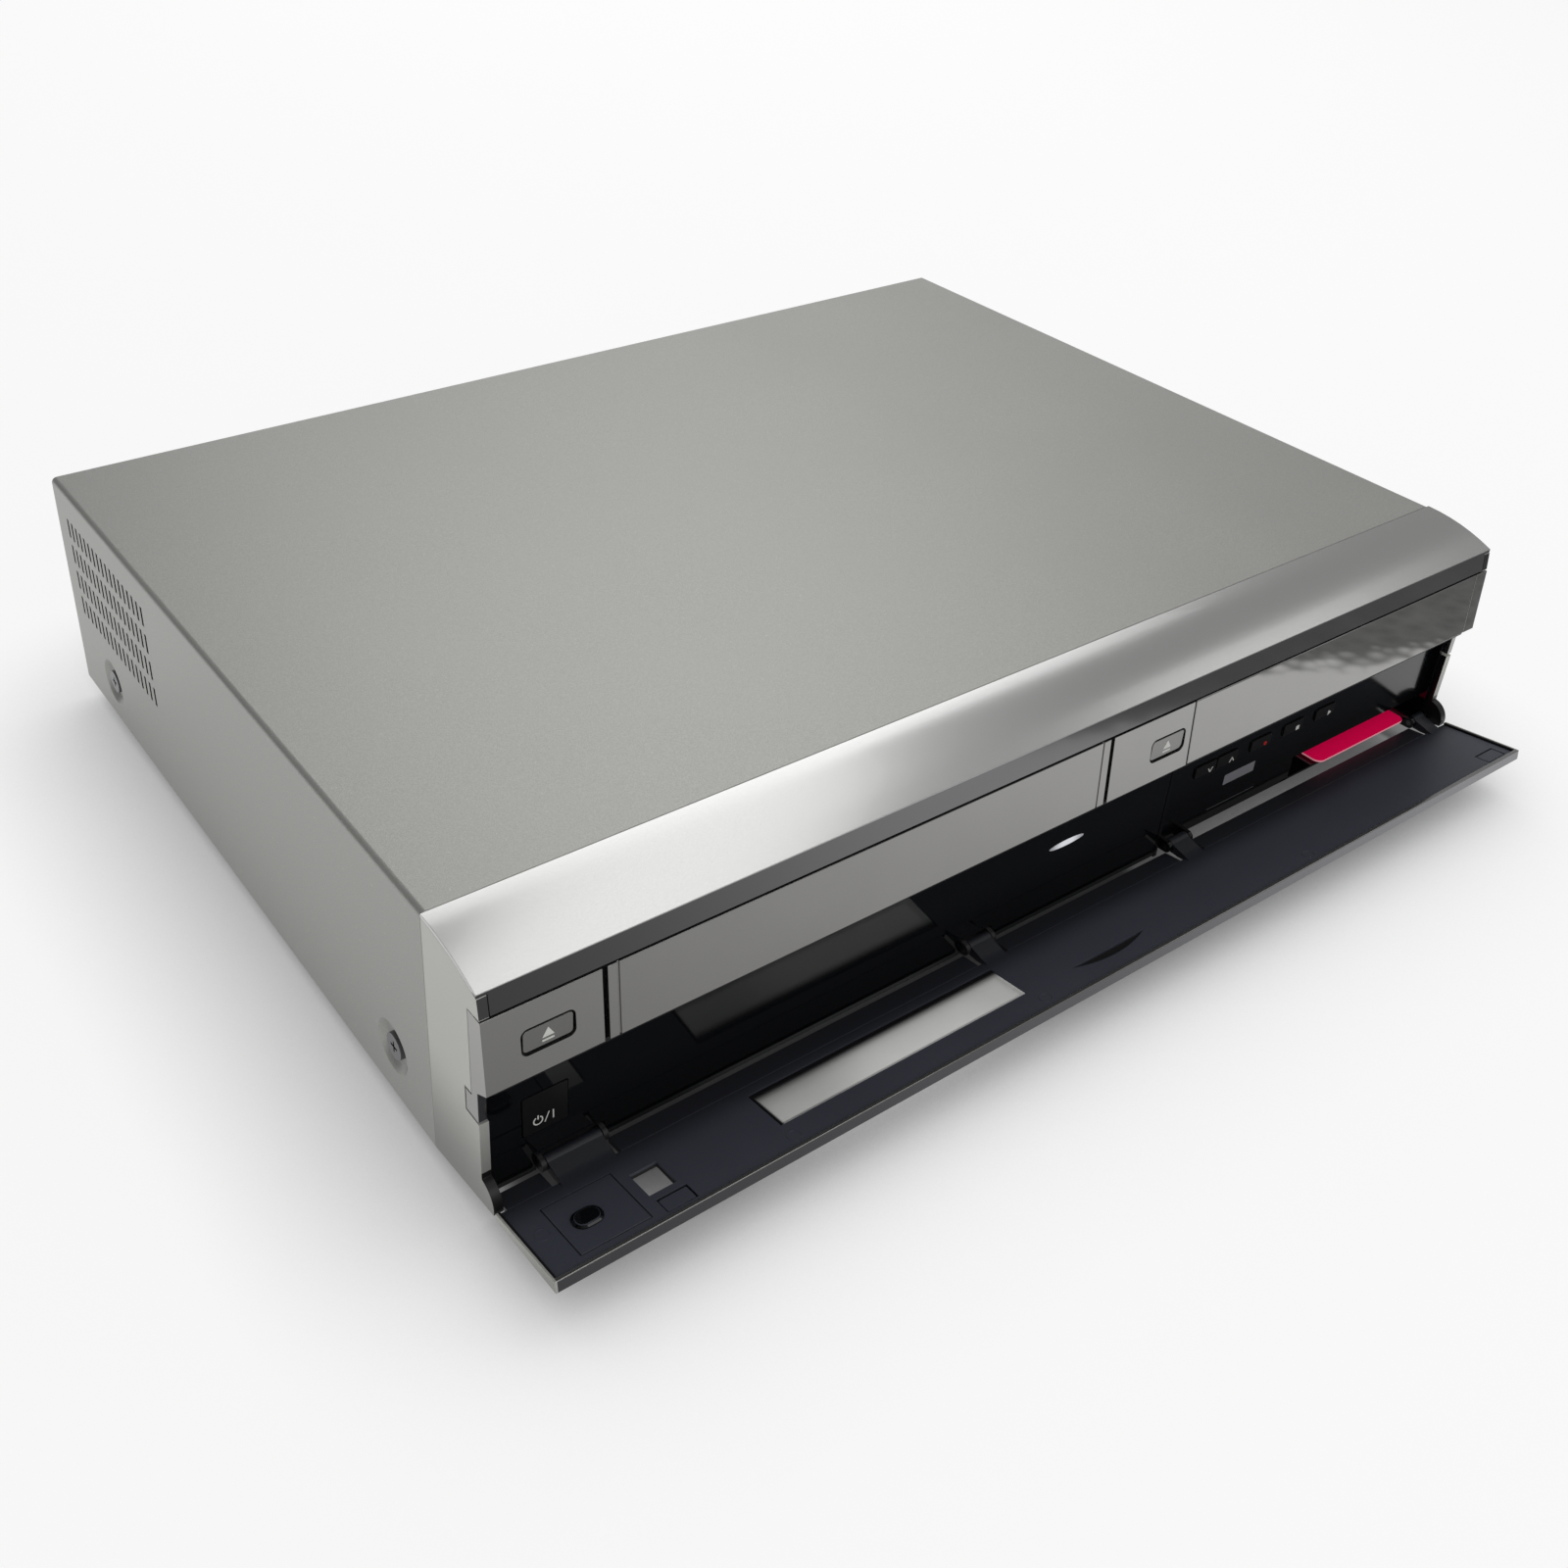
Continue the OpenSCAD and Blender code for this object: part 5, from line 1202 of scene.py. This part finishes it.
class RECORDER_OT_panel_details(bpy.types.Operator):
    """Adds the lamp, the plain label and the slot's face to the lower panels"""

    bl_idname = "recorder.panel_details"
    bl_label = "Panel details"

    def execute(self, context):
        sizes = settings("sizes")
        self.lamp(sizes)
        self.raised("plain_label", LABEL, sizes.print_t, LABEL_CORNER, "label_grey")
        self.well_block("slot_panel", SLOT_PANEL, sizes, SLOT_PANEL_SLOPE)
        self.well_block("well_floor", WELL_FLOOR, sizes)
        # Painted highlight: a lighter grey line where the card slot's edge catches the light.
        self.raised("slot_line", SLOT_HIGHLIGHT, sizes.print_t, SLOT_HIGHLIGHT_CORNER, "line_grey")
        return {"FINISHED"}

    def lamp(self, sizes):
        """A slim lens that is wide in its middle."""
        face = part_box("lower_panel")[0][1]
        middle = Vector((LAMP[0], face - LAMP_PROUD, LAMP[1]))
        lens = disc(middle, sizes.lamp_w / 2, LAMP_DEPTH, sizes.ring_count)
        edit_all()
        share = sizes.lamp_h / sizes.lamp_w
        bpy.ops.transform.resize(value=(1, 1, share), center_override=middle)
        leave_edit()
        round_edges(before(middle.y + TINY), LAMP_EDGE, 2)
        settle(lens, "lamp", CHASSIS, "lamp_lens")

    def raised(self, name, corners, thick, corner, finish):
        """A thin plate on the control panel's face, for the printed label and for the slot's
        painted highlight.
        """
        (x0, z0), (x1, z1) = corners
        low = (x0, CONTROL_FACE - thick, z0)
        high = (x1, CONTROL_FACE + PRINT_SINK, z1)
        plate = rounded_plate(low, high, corner, thick / 3)
        settle(plate, name, CHASSIS, finish)

    def well_block(self, name, corners, sizes, slope=0.0):
        """A black block in the card's well; its right end may slope back."""
        (x0, z0), (x1, z1) = corners
        plate = block((x0, CONTROL_FACE, z0), (x1, CONTROL_FACE + WELL_DEPTH, z1))
        middle = Vector(((x0 + x1) / 2, CONTROL_FACE + WELL_DEPTH / 2, 0))
        select("VERT", lambda point: point.co.x > middle.x and point.co.y < middle.y)
        bpy.ops.transform.translate(value=(-slope, 0, 0))
        leave_edit()
        round_edges(every, sizes.soft_edge * 0.7, 2)
        settle(plate, name, CHASSIS, "control_black")


class RECORDER_OT_sockets(bpy.types.Operator):
    """Adds rings and sleeves to the rear jacks, and metal to the other rear sockets"""

    bl_idname = "recorder.sockets"
    bl_label = "Rear sockets"

    def execute(self, context):
        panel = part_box("rear_panel")[1][1]
        self.jacks(panel)
        self.aerial_ends(panel)
        self.link_shells()
        self.inlet_pins()
        return {"FINISHED"}

    def at(self, places, y, profile, steps):
        """Copies of one turned piece on a plane of constant y."""
        return turned_at([Vector((x, y, z)) for x, z in places], profile, steps)

    def jacks(self, panel):
        """A metal sleeve, a ring in its mouth and a ring at its root on each jack."""
        reach = (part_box("rear_jacks")[1][1] - panel) / MM
        sleeve = [
            (4.22, 0.2), (4.5, 0.2), (4.5, reach - 0.05), (4.35, reach + 0.15),
            (3.5, reach + 0.15), (3.3, reach + 0.03), (4.22, reach + 0.03),
        ]
        mouth = [
            (3.2, reach + 0.01), (3.15, reach + 0.22), (2.0, reach + 0.28), (1.75, reach + 0.01),
        ]
        places = {}
        for column, tone in enumerate(JACK_COLUMNS):
            for row in range(JACK_ROWS):
                spot = (JACK_START[0] + column * JACK_PITCH, JACK_START[1] + row * JACK_PITCH)
                places.setdefault(tone, []).append(spot)
        spots = [spot for group in places.values() for spot in group]
        sleeves = self.at(spots, panel, sleeve, 20)
        settle(sleeves, "jack_sleeves", CHASSIS, "contact_gilt")
        for tone, group in places.items():
            rings = join([self.at(group, panel, ring, 20) for ring in (mouth, JACK_ROOT)])
            settle(rings, "jack_rings_" + tone, CHASSIS, "socket_" + tone)

    def aerial_ends(self, panel):
        """A threaded end with a six-sided nut on each aerial socket."""
        thread = [(4.22, 0.1), (4.7, 0.1), (4.7, 1.8)]
        for turn in range(THREAD_TURNS):
            depth = THREAD_START + turn * THREAD_PITCH
            thread += [(4.45, depth), (4.72, depth + 0.35), (4.72, depth + 0.5)]
        thread += [(4.4, 8.75), (4.22, 8.75)]
        ends = [self.at(AERIALS, panel, thread, 20), self.at(AERIALS, panel, AERIAL_NUT, 6)]
        settle(join(ends), "aerial_ends", CHASSIS, "screw_steel")

    def link_shells(self):
        """A plated frame round each of the two link sockets."""
        bars = []
        for x, z in LINK_SOCKETS:
            for side in (-1, 1):
                bars.append(self.link_bar(x, z + side * LINK_REACH[1], *LINK_SILL))
                bars.append(self.link_bar(x + side * LINK_REACH[0], z, *LINK_POST))
        settle(join(bars), "link_shells", CHASSIS, "drive_steel")

    def link_bar(self, x, z, half_x, half_z):
        """One side of a link socket's frame."""
        low = (x - half_x, LINK_FACE + LINK_DEPTH[0], z - half_z)
        high = (x + half_x, LINK_FACE + LINK_DEPTH[1], z + half_z)
        return rounded_plate(low, high, corner=0.15 * MM, edge=0.1 * MM)

    def inlet_pins(self):
        """Two round-ended pins in the mains inlet."""
        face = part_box("ac_inlet")[1][1]
        pins = self.at(INLET_PINS, face - INLET_SINK, INLET_PIN, 16)
        settle(pins, "inlet_pins", CHASSIS, "drum_aluminium")


class RECORDER_OT_small_parts(bpy.types.Operator):
    """Rounds the feet and the cover's screws"""

    bl_idname = "recorder.small_parts"
    bl_label = "Feet and screws"

    def execute(self, context):
        sizes = settings("sizes")
        soften(sizes.soft_edge * 3, 3, "feet")
        soften(sizes.soft_edge * 0.5, 2, "cover_screws")
        return {"FINISHED"}


class RECORDER_OT_card(bpy.types.Operator):
    """Rounds the access card"""

    bl_idname = "recorder.card"
    bl_label = "Access card"

    def execute(self, context):
        soften(settings("sizes").card_edge, 2, "access_card")
        return {"FINISHED"}


OPERATORS = (
    RECORDER_OT_stage,
    RECORDER_OT_finishes,
    RECORDER_OT_casing,
    RECORDER_OT_fascia,
    RECORDER_OT_flap,
    RECORDER_OT_keys,
    RECORDER_OT_panel_details,
    RECORDER_OT_card,
    RECORDER_OT_sockets,
    RECORDER_OT_small_parts,
)


class RECORDER_PT_dressing(bpy.types.Panel):
    """Lists the steps of the dressing"""

    bl_idname = "RECORDER_PT_dressing"
    bl_label = "Recorder"
    bl_space_type = "VIEW_3D"
    bl_region_type = "UI"
    bl_category = "Recorder"

    def draw(self, context):
        for step in OPERATORS:
            self.layout.operator(step.bl_idname)


GROUPS = {
    "recorder_colours": RecorderColours,
    "recorder_sizes": RecorderSizes,
    "recorder_stage": RecorderStage,
}
CLASSES = (*GROUPS.values(), *OPERATORS, RECORDER_PT_dressing)


def register():
    for item in CLASSES:
        bpy.utils.register_class(item)
    for name, group in GROUPS.items():
        setattr(bpy.types.Scene, name, PointerProperty(type=group))


def unregister():
    for name in GROUPS:
        delattr(bpy.types.Scene, name)
    for item in reversed(CLASSES):
        bpy.utils.unregister_class(item)


def main():
    register()
    for step in OPERATORS:
        family, name = step.bl_idname.split(".")
        getattr(getattr(bpy.ops, family), name)()


if __name__ == "__main__":
    main()
